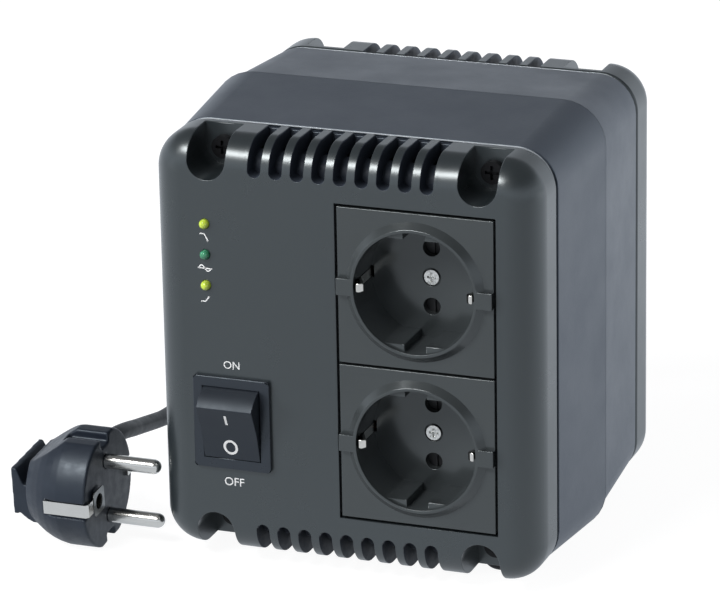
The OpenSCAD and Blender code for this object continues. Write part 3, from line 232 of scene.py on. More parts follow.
class StabilizerFinish(bpy.types.PropertyGroup):
    """Colours of the moulded, printed and metal surfaces."""

    bezel: colour_prop("Bezels", "Glossy moulding of the front and rear bezels", (0.018, 0.023, 0.026))
    casing: colour_prop("Casing", "Satin moulding of the two housings", (0.037, 0.045, 0.060))
    # The seam lips' pale colour is a painted highlight: it draws the bright line along each seam
    bead: colour_prop("Seam lips", "Lip of the housing in the seam behind each bezel", (0.36, 0.39, 0.42))
    insert: colour_prop("Socket inserts", "Moulding of the socket modules", (0.033, 0.038, 0.040))
    switch: colour_prop("Switch", "Moulding of the switch", (0.015, 0.018, 0.024))
    plug: colour_prop("Plug", "Moulding of the plug and its sleeves", (0.013, 0.017, 0.026))
    sheath: colour_prop("Lead", "Sheath of the lead", (0.009, 0.010, 0.012))
    inside: colour_prop("Inner mouldings", "Black mouldings inside the casing", (0.018, 0.018, 0.020))
    rubber: colour_prop("Feet", "Rubber of the feet", (0.012, 0.012, 0.013))
    button: colour_prop("Reset button", "Button of the overload breaker", (0.02, 0.02, 0.02))
    ink: colour_prop("Print", "Printed words and signs", (0.86, 0.87, 0.88))
    yellow: colour_prop("Yellow lamps", "Lens of the upper and lower lamps", (0.50, 0.64, 0.06))
    green: colour_prop("Green lamp", "Lens of the middle lamp", (0.045, 0.26, 0.135))
    nickel: colour_prop("Plug metal", "Pins and earth strips of the plug", (0.66, 0.65, 0.62))
    plate: colour_prop("Earth plate", "Dull plate round the plug's earth hole", (0.22, 0.23, 0.23))
    spring: colour_prop("Socket earth strips", "Spring steel of the sockets' earth strips", (0.70, 0.68, 0.64))
    brass: colour_prop("Pin contacts", "Brass contacts behind the shutters", (0.62, 0.45, 0.18))
    screw: colour_prop("Socket screws", "Plated screws in the middle of the sockets", (0.62, 0.62, 0.60))
    # The casing screws are drawn near black and not as metal
    near_black_screws: colour_prop("Casing screws", "Blackened screws in the bezels' recesses", (0.007, 0.007, 0.008))
    zinc: colour_prop("Zinc", "Plating of the inner screws, the core's strap and the breaker's nut", (0.42, 0.42, 0.42))
    blade: colour_prop("Terminals", "Blades of the switch and the breaker", (0.62, 0.60, 0.56))
    board: colour_prop("Circuit boards", "Lacquer of the two circuit boards", (0.02, 0.10, 0.05))
    core: colour_prop("Core", "Sheets of the transformer's core", (0.16, 0.16, 0.17))
    wire: colour_prop("Winding", "Copper wire of the transformer", (0.62, 0.26, 0.10))
    relay: colour_prop("Relays", "Cases of the relays", (0.03, 0.10, 0.33))
    capacitor: colour_prop("Capacitors", "Sleeves of the capacitors", (0.02, 0.02, 0.03))


class StabilizerSizes(bpy.types.PropertyGroup):
    """Sizes of what the scene adds to the CAD model."""

    edge: length_prop("Edge softening", "Radius of the mouldings' sharp edges", 0.00024, high=0.002)
    rim: length_prop("Rim softening", "Radius of the bezels' rims at the housings", 0.0008, high=0.002)
    strip: length_prop("Strip softening", "Radius of the sockets' earth strips' edges", 0.0004, high=0.002)
    bead: length_prop("Seam lip", "Radius of the housing's lip in the seam", 0.00026, 0.0001, 0.001)
    cord: length_prop("Lead diameter", "Outside diameter of the lead", 0.0056, 0.003)
    ink: length_prop("Print thickness", "How far the print stands over the moulding", 0.00006, 0.00001, 0.001)


class StabilizerStage(bpy.types.PropertyGroup):
    """Camera and light."""

    lens: bpy.props.FloatProperty(
        name="Lens", description="Focal length", default=228.83, min=10, max=500, subtype="DISTANCE_CAMERA"
    )
    key: power_prop("Key lamp", "Power of the lamp above at the front", 19.0)
    left: power_prop("Left lamp", "Power of the low lamp at the left", 19.0)
    side: power_prop("Side lamp", "Power of the low lamp at the right, behind", 37.0)
    sky: bright_prop("Sky", "Even light from all around", 0.155, 2)
    ceiling: bright_prop("Ceiling", "How bright the room above the backdrop looks in gloss", 0.04)
    floor: bright_prop("Floor glow", "How bright the floor's own glow is where the camera sees it", 0.93)
    near: bright_prop("Near floor", "How bright the floor before the stabilizer looks in gloss", 0.52, 2)
    far: bright_prop("Far floor", "How bright the floor behind the stabilizer looks in gloss", 1.0, 2)


# ----------------------------------------------------------------- materials


def node(tree, kind, settings=None, **inputs):
    """Adds a node, sets its own properties and its sockets. A socket goes by its name, with _ for a space, or by _
    and its number, and is linked where it is given another node's output."""
    made = tree.nodes.new(kind)
    for key, value in (settings or {}).items():
        setattr(made, key, value)
    for key, value in inputs.items():
        label = key.replace("_", " ")
        slot = made.inputs[label if label in made.inputs else int(key[1:])]
        if isinstance(value, bpy.types.NodeSocket):
            tree.links.new(value, slot)
        else:
            slot.default_value = value
    return made


def rgba(colour, gain=1.0):
    """A linear colour with its alpha, brightened or darkened."""
    return (*[min(1.0, c * gain) for c in colour], 1.0)


def moulded(name, colour, rough=0.4, spread=0.06, tint=0.10, patch=0.03, grain=0.0004, bump=0.05, coat=0.0,
            specular=0.5, metal=0.0, cast=(1, 1, 1)):
    """A moulded or metal surface: the colour drifts by tint over patches of one size, the gloss drifts by spread
    over smaller ones as handling leaves it, and a fine grain lifts the surface."""
    material = bpy.data.materials.new(name)
    material.use_nodes = True
    tree = material.node_tree
    shader = tree.nodes["Principled BSDF"]
    low, high = NOISE_RANGE
    here = node(tree, "ShaderNodeTexCoord").outputs["Object"]
    drift = node(tree, "ShaderNodeTexNoise", Vector=here, Scale=1 / patch, Detail=3.0, Roughness=0.55)
    ramp = node(tree, "ShaderNodeValToRGB", Fac=drift.outputs["Fac"])
    for stop, position, gain in zip(ramp.color_ramp.elements, NOISE_RANGE, (1 - tint, 1 + tint)):
        stop.position = position
        stop.color = rgba(colour, gain)
    handling = node(tree, "ShaderNodeTexNoise", Vector=here, Scale=HANDLING_FINER / patch, Detail=5.0, Roughness=0.65)
    gloss = node(
        tree, "ShaderNodeMapRange", Value=handling.outputs["Fac"], From_Min=low, From_Max=high,
        To_Min=max(0.02, rough - spread), To_Max=min(1.0, rough + spread),
    )
    fine = node(tree, "ShaderNodeTexNoise", Vector=here, Scale=1 / grain, Detail=2.0, Roughness=0.5)
    lift = node(tree, "ShaderNodeBump", Height=fine.outputs["Fac"], Strength=bump, Distance=grain / 2)
    tree.links.new(ramp.outputs["Color"], shader.inputs["Base Color"])
    tree.links.new(gloss.outputs["Result"], shader.inputs["Roughness"])
    tree.links.new(lift.outputs["Normal"], shader.inputs["Normal"])
    shader.inputs["Metallic"].default_value = metal
    shader.inputs["Specular IOR Level"].default_value = specular
    shader.inputs["Specular Tint"].default_value = rgba(cast)
    shader.inputs["Coat Weight"].default_value = coat
    shader.inputs["Coat Roughness"].default_value = COAT_ROUGH
    return material


def lens_material(name, colour, glow):
    """A tinted lamp lens that lets some light through and has a faint painted glow, though the lamp is off."""
    material = moulded(
        name, colour, rough=0.16, spread=0.03, tint=0.25, patch=0.0012, grain=0.0003, bump=0.02, coat=0.4
    )
    shader = material.node_tree.nodes["Principled BSDF"]
    # Painted glow: the lamp is off, and this emission only brightens the lens
    shader.inputs["Emission Color"].default_value = rgba(colour)
    shader.inputs["Emission Strength"].default_value = glow
    shader.inputs["Subsurface Weight"].default_value = 0.3
    shader.inputs["Subsurface Radius"].default_value = (0.001, 0.001, 0.0005)
    shader.inputs["Subsurface Scale"].default_value = 1.0
    return material


def wear(material, *names):
    """Gives CAD nodes a material."""
    for name in names:
        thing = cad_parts[name]
        thing.data.materials.clear()
        thing.data.materials.append(material)


# -------------------------------------------------------------------- meshes


def finish_mesh(name, mesh, material, smooth=True):
    """Links a mesh as an object at the origin with one material."""
    mesh.update()
    mesh.polygons.foreach_set("use_smooth", np.full(len(mesh.polygons), smooth))
    thing = bpy.data.objects.new(name, mesh)
    bpy.context.scene.collection.objects.link(thing)
    mesh.materials.append(material)
    return thing


def closed_surface(name, grid, material):
    """A mesh over a grid of points that joins up with itself both ways, with one face for each cell, turned
    outwards."""
    rows, cols = grid.shape[:2]
    index = np.pad(np.arange(rows * cols).reshape(rows, cols), ((0, 1), (0, 1)), mode="wrap")
    faces = np.stack([index[:-1, :-1], index[1:, :-1], index[1:, 1:], index[:-1, 1:]], -1).reshape(-1, 4)
    mesh = bpy.data.meshes.new(name)
    mesh.from_pydata(grid.reshape(-1, 3).tolist(), [], faces.tolist())
    thing = finish_mesh(name, mesh, material)
    work = bmesh.new()
    work.from_mesh(mesh)
    bmesh.ops.recalc_face_normals(work, faces=work.faces)
    work.to_mesh(mesh)
    work.free()
    return thing


def joined(source):
    """A CAD node's mesh for work, with its triangles joined and its flat faces made whole again."""
    work = bmesh.new()
    work.from_mesh(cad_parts[source].data)
    bmesh.ops.remove_doubles(work, verts=work.verts, dist=MERGE)
    bmesh.ops.dissolve_limit(
        work, angle_limit=FLAT_ANGLE, verts=work.verts, edges=work.edges, use_dissolve_boundaries=False
    )
    return work


def mesh_of(work, name):
    """The finished work as a mesh, without the shading that the CAD node's triangles carried."""
    mesh = bpy.data.meshes.new(name)
    work.to_mesh(mesh)
    work.free()
    for attribute in ("custom_normal", "sharp_face"):
        if attribute in mesh.attributes:
            mesh.attributes.remove(mesh.attributes[attribute])
    return mesh


def on_seam(edge):
    """Whether an edge lies where a grille is let into its bezel, at the grille's sides or along its inner end."""
    for corner in edge.verts:
        across, rise = abs(corner.co.x), abs(corner.co.z - MIDDLE_Z)
        beside = abs(across - GRILLE_X) < ON_BORDER and rise > GRILLE_Z - PAST_BORDER
        along = abs(rise - GRILLE_Z) < ON_BORDER and across < GRILLE_X + PAST_BORDER
        if not (beside or along):
            return False
    return True


def is_rim(edge, ray):
    """Whether an outer edge is the bezel's rim that meets the housing, which gets a wider rounding."""
    if max(abs(abs(corner.co.y) - RIM_Y) for corner in edge.verts) > AT_RIM:
        return False
    return max(face.normal.dot(ray) for face in edge.link_faces) > LOOKS_OUT


def softened(name, source, material, slot, width, body="case", centre=CASING_CENTRE, split=False, rim=0.0):
    """A CAD node with its sharp outer edges rounded to a small radius, which stands for the node. An edge is
    rounded where it juts out by more than SHARP_ANGLE and neither of its faces looks back at the centre. A bezel's
    rim has a wider radius of its own. With split every hollow face is first cut into plain ones, and with a rim
    those beside it are."""
    work = joined(source)
    if split or rim:
        cut = [f for f in work.faces if split or abs(abs(f.calc_center_median().y) - RIM_Y) < AT_RIM]
        bmesh.ops.connect_verts_concave(work, faces=cut)
    weight = work.edges.layers.float.new("bevel_weight_edge")
    middle = Vector(centre)
    widest = max(width, rim)
    for edge in work.edges:
        sharp = len(edge.link_faces) != 2 or edge.calc_face_angle(0) > SHARP_ANGLE
        edge.smooth = not sharp
        if not sharp or not edge.is_convex or on_seam(edge):
            continue
        ray = ((edge.verts[0].co + edge.verts[1].co) / 2 - middle).normalized()
        if min(face.normal.dot(ray) for face in edge.link_faces) > LOOKS_BACK:
            edge[weight] = 1.0 if rim and is_rim(edge, ray) else width / widest
            edge.smooth = True
    thing = finish_mesh(name, mesh_of(work, name), material)
    bevel = thing.modifiers.new("soft_edges", "BEVEL")
    bevel.width = widest
    bevel.segments = 3 if rim else 2
    bevel.limit_method = "WEIGHT"
    bevel.use_clamp_overlap = False
    bevel.harden_normals = True
    bevel.miter_outer = "MITER_ARC"
    even = thing.modifiers.new("even_shading", "WEIGHTED_NORMAL")
    even.keep_sharp = True
    even.weight = 60
    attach(thing, body)
    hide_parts(source)
    return thing


def paint_deep_shade(thing, material, depth):
    """Gives the faces that lie deeper than a given depth under the piece's convex hull a second material, which paints
    shade into the recesses. A face's depth is the least distance from its centre to the planes of the hull's faces."""
    shell = bmesh.new()
    shell.from_mesh(thing.data)
    hull = bmesh.ops.convex_hull(shell, input=shell.verts)
    outer = [g for g in hull["geom"] if isinstance(g, bmesh.types.BMFace)]
    planes = np.array([(*face.normal, face.normal.dot(face.verts[0].co)) for face in outer])
    shell.free()
    centres = np.zeros(len(thing.data.polygons) * 3, np.float32)
    thing.data.polygons.foreach_get("center", centres)
    under = (planes[:, 3][None] - centres.reshape(-1, 3) @ planes[:, :3].T).min(1)
    thing.data.materials.append(material)
    thing.data.polygons.foreach_set("material_index", (under > depth).astype(np.int32))


def seam_bead(name, y, radius, material):
    """A round lip in the seam round the casing. Its path is a rectangle with quarter-circle corners; round each
    point of the path runs a circle whose axis is the path's own direction."""
    wide, high, corner = LIP
    quarter = np.linspace(0, math.pi / 2, LIP_CORNER_POINTS)
    turn = (np.arange(4)[:, None] * math.pi / 2 + quarter).ravel()
    side_x = np.repeat([1, -1, -1, 1], LIP_CORNER_POINTS) * (wide - corner)
    side_z = np.repeat([1, 1, -1, -1], LIP_CORNER_POINTS) * (high - corner)
    around = np.linspace(0, 2 * math.pi, LIP_SIDES, endpoint=False)
    reach = corner + radius * np.cos(around)[None]
    x = side_x[:, None] + reach * np.cos(turn)[:, None]
    z = MIDDLE_Z + side_z[:, None] + reach * np.sin(turn)[:, None]
    depth = np.broadcast_to(y + radius * np.sin(around)[None], x.shape)
    return closed_surface(name, np.stack([x, depth, z], -1), material)


def earth_plate(material):
    """The thin squarish plate round the plug's earth hole, held before the hole's rim. Its outline is a square whose
    corners are cut to a circle; it is drawn in the plug's own frame and rolled with it."""
    angle = np.linspace(0, 2 * math.pi, PLATE_POINTS, endpoint=False)
    square = PLATE_HALF / np.maximum(np.abs(np.cos(angle)), np.abs(np.sin(angle)))
    outline = np.minimum(square, PLATE_CORNER)
    hole = np.full_like(angle, PLATE_HOLE)
    reach = np.stack([hole, outline, outline, hole], -1)
    front = np.broadcast_to([PLATE_BACK, PLATE_BACK, PLATE_FRONT, PLATE_FRONT], reach.shape)
    across = reach * np.cos(angle)[:, None] - EARTH_HOLE_Y
    up = reach * np.sin(angle)[:, None]
    roll = math.radians(PLUG_ROLL)
    x = PLUG_AT[0] + front
    y = PLUG_AT[1] + across * math.cos(roll) - up * math.sin(roll)
    z = PLUG_AT[2] + across * math.sin(roll) + up * math.cos(roll)
    thing = closed_surface("earth_plate", np.stack([x, y, z], -1) * MM, material)
    thing.data.shade_flat()
    return thing


def smooth_line(points, step):
    """Points at even steps along a curve through the given ones. Each span is a cubic blended from straight lines
    through its neighbours, on a parameter that grows with the square root of the spacing."""
    p = np.asarray(points, float)
    p = np.vstack([2 * p[0] - p[1], p, 2 * p[-1] - p[-2]])
    knots = np.concatenate([[0], np.cumsum(np.linalg.norm(np.diff(p, axis=0), axis=1) ** 0.5)])
    fine = []
    share = np.linspace(0, 1, SPAN_POINTS, endpoint=False)[:, None]
    for i in range(1, len(p) - 2):
        t0, t1, t2, t3 = knots[i - 1 : i + 3]
        t = t1 + share * (t2 - t1)
        a1 = (t1 - t) / (t1 - t0) * p[i - 1] + (t - t0) / (t1 - t0) * p[i]
        a2 = (t2 - t) / (t2 - t1) * p[i] + (t - t1) / (t2 - t1) * p[i + 1]
        a3 = (t3 - t) / (t3 - t2) * p[i + 1] + (t - t2) / (t3 - t2) * p[i + 2]
        b1 = (t2 - t) / (t2 - t0) * a1 + (t - t0) / (t2 - t0) * a2
        b2 = (t3 - t) / (t3 - t1) * a2 + (t - t1) / (t3 - t1) * a3
        fine.append((t2 - t) / (t2 - t1) * b1 + (t - t1) / (t2 - t1) * b2)
    fine = np.vstack([*fine, p[-2]])
    run = np.concatenate([[0], np.cumsum(np.linalg.norm(np.diff(fine, axis=0), axis=1))])
    even = np.linspace(0, run[-1], max(2, int(round(run[-1] / step)) + 1))
    return np.stack([np.interp(even, run, fine[:, k]) for k in range(3)], -1)


def coil_line():
    """The coil's centreline in millimetres. At turn t the radius is the inner one plus the pitch times the
    distance from the middle turn, so it winds in on the floor and out on top; the height climbs by one layer
    with a raised cosine about the middle turn."""
    t = np.linspace(0, COIL_TURNS, int(COIL_TURNS * TURN_POINTS) + 1)
    middle = COIL_TURNS / 2
    radius = COIL_OUTER - COIL_PITCH * middle + COIL_PITCH * np.abs(t - middle)
    up = np.clip((t - middle) / COIL_CLIMB + 0.5, 0, 1)
    angle = math.pi - 2 * math.pi * t
    x = COIL_CENTRE[0] + radius * np.cos(angle)
    y = COIL_CENTRE[1] + radius * np.sin(angle)
    z = COIL_CENTRE[2] + COIL_LAYER * (1 - np.cos(math.pi * up)) / 2
    return np.stack([x, y, z], -1)


def thicken(thing, lift):
    """Gives a flat mark in the XZ plane a thickness towards -Y and turns all its faces outwards."""
    work = bmesh.new()
    work.from_mesh(thing.data)
    bmesh.ops.remove_doubles(work, verts=work.verts, dist=PRINT_MERGE)
    grown = bmesh.ops.extrude_face_region(work, geom=list(work.faces))["geom"]
    bmesh.ops.translate(work, verts=[v for v in grown if isinstance(v, bmesh.types.BMVert)], vec=(0, -lift, 0))
    bmesh.ops.recalc_face_normals(work, faces=work.faces)
    work.to_mesh(thing.data)
    work.free()


def ribbon(name, strokes, width, material, lift):
    """Flat strokes in the XZ plane that face -Y: each line of points is widened to both sides by half the width,
    square to its own course, and given a small thickness."""
    points, faces, start = [], [], 0
    for line in strokes:
        p = np.asarray(line, float)
        ahead = np.gradient(p, axis=0)
        if np.allclose(p[0], p[-1]):
            ahead[0] = ahead[-1] = p[1] - p[-2]
        ahead /= np.linalg.norm(ahead, axis=1)[:, None]
        side = np.stack([-ahead[:, 1], ahead[:, 0]], -1) * width / 2
        edges = np.stack([p + side, p - side], 1).reshape(-1, 2)
        points.append(np.stack([edges[:, 0], np.zeros(len(edges)), edges[:, 1]], -1))
        first = start + 2 * np.arange(len(p) - 1)
        faces.append(np.stack([first, first + 1, first + 3, first + 2], -1))
        start += len(edges)
    mesh = bpy.data.meshes.new(name)
    mesh.from_pydata(np.vstack(points).tolist(), [], np.vstack(faces).tolist())
    thing = finish_mesh(name, mesh, material, smooth=False)
    thicken(thing, lift)
    return thing


def words(name, text, height, material, lift):
    """A printed word in the XZ plane that faces -Y, centred on the origin and scaled to its height."""
    curve = bpy.data.curves.new(name, "FONT")
    curve.body = text
    curve.size = 1.0
    curve.resolution_u = 6
    probe = bpy.data.objects.new(name + "_curve", curve)
    bpy.context.scene.collection.objects.link(probe)
    mesh = bpy.data.meshes.new_from_object(probe.evaluated_get(bpy.context.evaluated_depsgraph_get()))
    bpy.data.objects.remove(probe)
    co = np.zeros(len(mesh.vertices) * 3, np.float32)
    mesh.vertices.foreach_get("co", co)
    co = co.reshape(-1, 3)
    low, high = co.min(0), co.max(0)
    centred = (co - (low + high) / 2) * (height / (high[1] - low[1]))
    upright = np.stack([centred[:, 0], np.zeros(len(co)), centred[:, 1]], -1)
    mesh.vertices.foreach_set("co", upright.astype(np.float32).ravel())
    mesh.materials.clear()
    thing = finish_mesh(name, mesh, material, smooth=False)
    thicken(thing, lift)
    return thing


def place(thing, matrix):
    """Moves a piece's mesh, and leaves its object at the origin."""
    thing.data.transform(matrix)
    thing.data.update()


# --------------------------------------------------------------------- stage


def add_camera(context, stage):
    """The camera at the photograph's viewpoint. Azimuth and elevation give the direction back from the casing, and
    the level and rising directions square to it are turned by the roll."""
    camera = bpy.data.cameras.new("camera")
    camera.lens = stage.lens
    camera.sensor_width = SENSOR_WIDTH
    camera.clip_start, camera.clip_end = CAMERA_CLIP
    viewer = bpy.data.objects.new("camera", camera)
    azimuth, elevation, roll = (math.radians(angle) for angle in CAMERA_TURN)
    level_part = math.cos(elevation)
    back = Vector((math.sin(azimuth) * level_part, -math.cos(azimuth) * level_part, math.sin(elevation)))
    level = Vector((math.cos(azimuth), math.sin(azimuth), 0))
    rise = back.cross(level)
    right = math.cos(roll) * level + math.sin(roll) * rise
    up = -math.sin(roll) * level + math.cos(roll) * rise
    turn = Matrix((right, up, back)).transposed().to_4x4()
    viewer.matrix_world = Matrix.Translation(CAMERA_AT) @ turn
    context.scene.collection.objects.link(viewer)
    context.scene.camera = viewer


def faded(tree, value, start_end, start, end):
    """A number that changes smoothly from start to end while a value passes between two others."""
    fade = node(
        tree, "ShaderNodeMapRange", {"interpolation_type": "SMOOTHSTEP"}, Value=value, From_Min=start_end[0],
        From_Max=start_end[1], To_Min=start, To_Max=end,
    )
    return fade.outputs["Result"]


def add_world(context, stage):
    """An even sky. The camera sees white, and gloss sees a cool backdrop that fades into a dim ceiling."""
    world = bpy.data.worlds.new("studio")
    context.scene.world = world
    world.use_nodes = True
    tree = world.node_tree
    tree.nodes.clear()
    rays = node(tree, "ShaderNodeLightPath")
    way = node(tree, "ShaderNodeSeparateXYZ", Vector=node(tree, "ShaderNodeTexCoord").outputs["Generated"])
    backdrop = faded(tree, way.outputs["Z"], BACKDROP_FADE, 1.0, stage.ceiling)
    mirrored = node(tree, "ShaderNodeMath", {"operation": "MULTIPLY"}, _0=rays.outputs["Is Glossy Ray"], _1=backdrop)
    shown = node(
        tree, "ShaderNodeMath", {"operation": "MAXIMUM"}, _0=mirrored.outputs[0],
        _1=rays.outputs["Is Transmission Ray"],
    )
    soft = node(tree, "ShaderNodeBackground", Color=SKY_COLOUR, Strength=stage.sky)
    cool = node(tree, "ShaderNodeBackground", Color=MIRRORED, Strength=1.0)
    seen = node(tree, "ShaderNodeBackground", Color=WHITE, Strength=1.0)
    room = node(tree, "ShaderNodeMixShader", _0=shown.outputs[0], _1=soft.outputs[0], _2=cool.outputs[0])
    mix = node(
        tree, "ShaderNodeMixShader", _0=rays.outputs["Is Camera Ray"], _1=room.outputs[0], _2=seen.outputs[0]
    )
    node(tree, "ShaderNodeOutputWorld", Surface=mix.outputs[0])


def floor_material(stage):
    """A matt floor that keeps the shadow, with a glow for the camera and, in gloss, one that grows to the back."""
    white = bpy.data.materials.new("pale_floor")
    white.use_nodes = True
    tree = white.node_tree
    tree.nodes.clear()
    rays = node(tree, "ShaderNodeLightPath")
    shown = node(
        tree, "ShaderNodeMath", {"operation": "MAXIMUM"}, _0=rays.outputs["Is Glossy Ray"],
        _1=rays.outputs["Is Transmission Ray"],
    )
    matt = node(tree, "ShaderNodeBsdfDiffuse", Color=FLOOR_COLOUR)
    lift = node(tree, "ShaderNodeEmission", Color=WHITE, Strength=stage.floor)
    along = node(tree, "ShaderNodeSeparateXYZ", Vector=node(tree, "ShaderNodeTexCoord").outputs["Object"])
    sweep = faded(tree, along.outputs["Y"], FLOOR_SWEEP, stage.near, stage.far)
    cool = node(tree, "ShaderNodeEmission", Color=MIRRORED, Strength=sweep)
    dark = node(tree, "ShaderNodeEmission", Color=WHITE, Strength=0.0)
    under = node(tree, "ShaderNodeMixShader", _0=shown.outputs[0], _1=dark.outputs[0], _2=cool.outputs[0])
    glow = node(
        tree, "ShaderNodeMixShader", _0=rays.outputs["Is Camera Ray"], _1=under.outputs[0], _2=lift.outputs[0]
    )
    both = node(tree, "ShaderNodeAddShader", _0=matt.outputs[0], _1=glow.outputs[0])
    node(tree, "ShaderNodeOutputMaterial", Surface=both.outputs[0])
    return white


def add_floor(stage):
    """The floor that the stabilizer stands on: one square face."""
    floor = bpy.data.meshes.new("floor")
    r = FLOOR_REACH
    floor.from_pydata([(-r, -r, 0), (r, -r, 0), (r, r, 0), (-r, r, 0)], [], [(0, 1, 2, 3)])
    finish_mesh("floor", floor, floor_material(stage), smooth=False)


def add_lamps(context, stage):
    """The three soft lamps. Only the key lamp shows in gloss."""
    for (name, at, size), power in zip(LAMPS, (stage.key, stage.left, stage.side)):
        lamp = bpy.data.lights.new(name, "AREA")
        lamp.shape = "RECTANGLE"
        lamp.size, lamp.size_y = size
        lamp.energy = power
        holder = bpy.data.objects.new(name, lamp)
        holder.location = at
        holder.rotation_euler = (Vector(at) - LAMP_TARGET).to_track_quat("Z", "Y").to_euler()
        holder.visible_camera = False
        holder.visible_glossy = name == "key_lamp"
        context.scene.collection.objects.link(holder)


# ----------------------------------------------------------------- operators


class PieceOperator(bpy.types.Operator):
    """What the operators share."""

    bl_options = {"REGISTER", "UNDO"}

    @classmethod
    def poll(cls, context):
        return context.scene is not None


class STABILIZER_OT_stage(PieceOperator):
    """Sets up the camera, the pale floor, the lamps and the world"""

    bl_idname = "stabilizer.stage"
    bl_label = "Stage"

    def execute(self, context):
        stage = context.scene.stabilizer_stage
        add_camera(context, stage)
        add_world(context, stage)
        add_floor(stage)
        add_lamps(context, stage)
        context.scene.view_settings.view_transform = "Standard"
        return {"FINISHED"}


class STABILIZER_OT_plug(PieceOperator):
    """Moulds the angled plug with its pins, its earth strips and the plate round its earth hole"""

    bl_idname = "stabilizer.plug"
    bl_label = "Plug"

    def execute(self, context):
        finish = context.scene.stabilizer_finish
        skin = moulded(
            "plug_moulding", finish.plug, rough=0.42, cast=BLUISH, spread=0.08, tint=0.14, patch=0.010, grain=0.0003,
            bump=0.12,
        )
        thing = finish_mesh("plug_shell", mesh_of(joined("plug_body"), "plug_shell"), skin)
        remesh = thing.modifiers.new("even_skin", "REMESH")
        remesh.mode = "VOXEL"
        remesh.voxel_size = PLUG_VOXEL
        remesh.use_smooth_shade = True
        relax = thing.modifiers.new("soft_edges", "SMOOTH")
        relax.factor = PLUG_RELAX
        relax.iterations = PLUG_RELAX_ROUNDS
        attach(thing, "case")
        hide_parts("plug_body")
        nickel = moulded(
            "nickel_plate", finish.nickel, rough=0.21, spread=0.03, tint=0.04, patch=0.01, grain=0.0002, bump=0.004,
            metal=1.0,
        )
        wear(nickel, "plug_pins", "plug_earth_clips")
        dull = moulded(
            "dull_plate", finish.plate, rough=0.30, spread=0.06, tint=0.10, patch=0.003, grain=0.0002, bump=0.05,
            metal=1.0,
        )
        plate = earth_plate(dull)
        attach(plate, "case")
        return {"FINISHED"}


class STABILIZER_OT_cord(PieceOperator):
    """Lays the lead from the gland through its coil to the plug, with its gland and its tie"""

    bl_idname = "stabilizer.cord"
    bl_label = "Lead, gland and tie"

    def execute(self, context):
        finish, sizes = context.scene.stabilizer_finish, context.scene.stabilizer_sizes
        lead = smooth_line(LEAD_ROUTE, ROUTE_STEP)
        tail = smooth_line(TAIL_ROUTE, ROUTE_STEP)
        line = np.vstack([lead, coil_line()[::-1], tail]) * MM
        keep = np.concatenate([[True], np.linalg.norm(np.diff(line, axis=0), axis=1) > LEAST_STEP])
        line = line[keep]
        curve = bpy.data.curves.new("lead", "CURVE")
        curve.dimensions = "3D"
        spline = curve.splines.new("POLY")
        spline.points.add(len(line) - 1)
        spline.points.foreach_set("co", np.hstack([line, np.ones((len(line), 1))]).astype(np.float32).ravel())
        spline.use_smooth = True
        curve.bevel_depth = sizes.cord / 2
        curve.bevel_resolution = 4
        curve.use_fill_caps = True
        thing = bpy.data.objects.new("lead", curve)
        context.scene.collection.objects.link(thing)
        sheath = moulded(
            "lead_sheath", finish.sheath, rough=0.50, cast=BLUISH, specular=0.3, spread=0.08, patch=0.012,
            grain=0.0003, bump=0.05,
        )
        curve.materials.append(sheath)
        wear(sheath, "cord_gland")
        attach(thing, "case")
        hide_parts("cord_lead", "cord_coil", "cord_tail")
        wear(moulded("tie_strap", finish.inside, rough=0.6, grain=0.0006, bump=0.3), "cord_tie")
        return {"FINISHED"}


class STABILIZER_OT_casing(PieceOperator):
    """Finishes bezels, grilles with painted vent shade, housings, lips with a painted highlight, screws and feet"""

    bl_idname = "stabilizer.casing"
    bl_label = "Casing"

    def execute(self, context):
        finish, sizes = context.scene.stabilizer_finish, context.scene.stabilizer_sizes
        gloss = moulded(
            "bezel_moulding", finish.bezel, rough=0.29, cast=COOL, specular=1.0, spread=0.03, tint=0.05, patch=0.06,
            grain=0.0005, bump=0.008,
        )
        satin = moulded(
            "casing_moulding", finish.casing, rough=0.42, cast=BLUISH, specular=0.7, spread=0.05, tint=0.06,
            patch=0.08, grain=0.0006, bump=0.10,
        )
        # Painted shade for the vents: a duller copy of the casing plastic on the grilles' deep faces
        vent_shade_paint = moulded(
            "vent_painted_shade", finish.casing, rough=0.5, spread=0.08, tint=0.10, patch=0.01, grain=0.0005, bump=0.05,
            specular=0.2,
        )
        for name, source in (
            ("bezel_front", "front_bezel"),
            ("bezel_rear", "rear_bezel"),
            ("grille_front", "front_grilles"),
            ("grille_rear", "rear_grilles"),
        ):
            thing = softened(name, source, gloss, "bezel_gloss", sizes.edge, rim=sizes.rim)
            # The grilles' deep faces get the painted shade
            if name.startswith("grille"):
                paint_deep_shade(thing, vent_shade_paint, VENT_SHADE_DEPTH)
        for name, source in (("housing_front", "front_housing"), ("housing_rear", "rear_housing")):
            softened(name, source, satin, "casing_satin", sizes.edge)
        # Pale lips in the seams: a painted highlight line along each bezel's rim
        lip_highlight_paint = moulded(
            "seam_lip_painted_highlight", finish.bead, rough=0.16, cast=COOL, spread=0.03, tint=0.08, patch=0.02, bump=0.02
        )
        for name, side in (("seam_lip_highlight_front", -1), ("seam_lip_highlight_rear", 1)):
            thing = seam_bead(name, side * LIP_Y, sizes.bead, lip_highlight_paint)
            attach(thing, "case")
        steel = moulded(
            "zinc_plate", finish.zinc, rough=0.34, spread=0.08, tint=0.10, patch=0.004, grain=0.0003, bump=0.05,
            metal=1.0,
        )
        # Near black and not metal, in the recesses and at the back
        black = moulded(
            "black_screw", finish.near_black_screws, rough=0.42, spread=0.08, tint=0.10, patch=0.004, grain=0.0003,
            bump=0.05, specular=0.25,
        )
        wear(black, "front_screws", "rear_screws")
        wear(steel, "retainer_screws", "led_board_screws", "board_screws", "transformer_screws", "breaker_nut")
        wear(moulded("foot_rubber", finish.rubber, rough=0.75, grain=0.0004, bump=0.25), "rubber_feet")
        return {"FINISHED"}


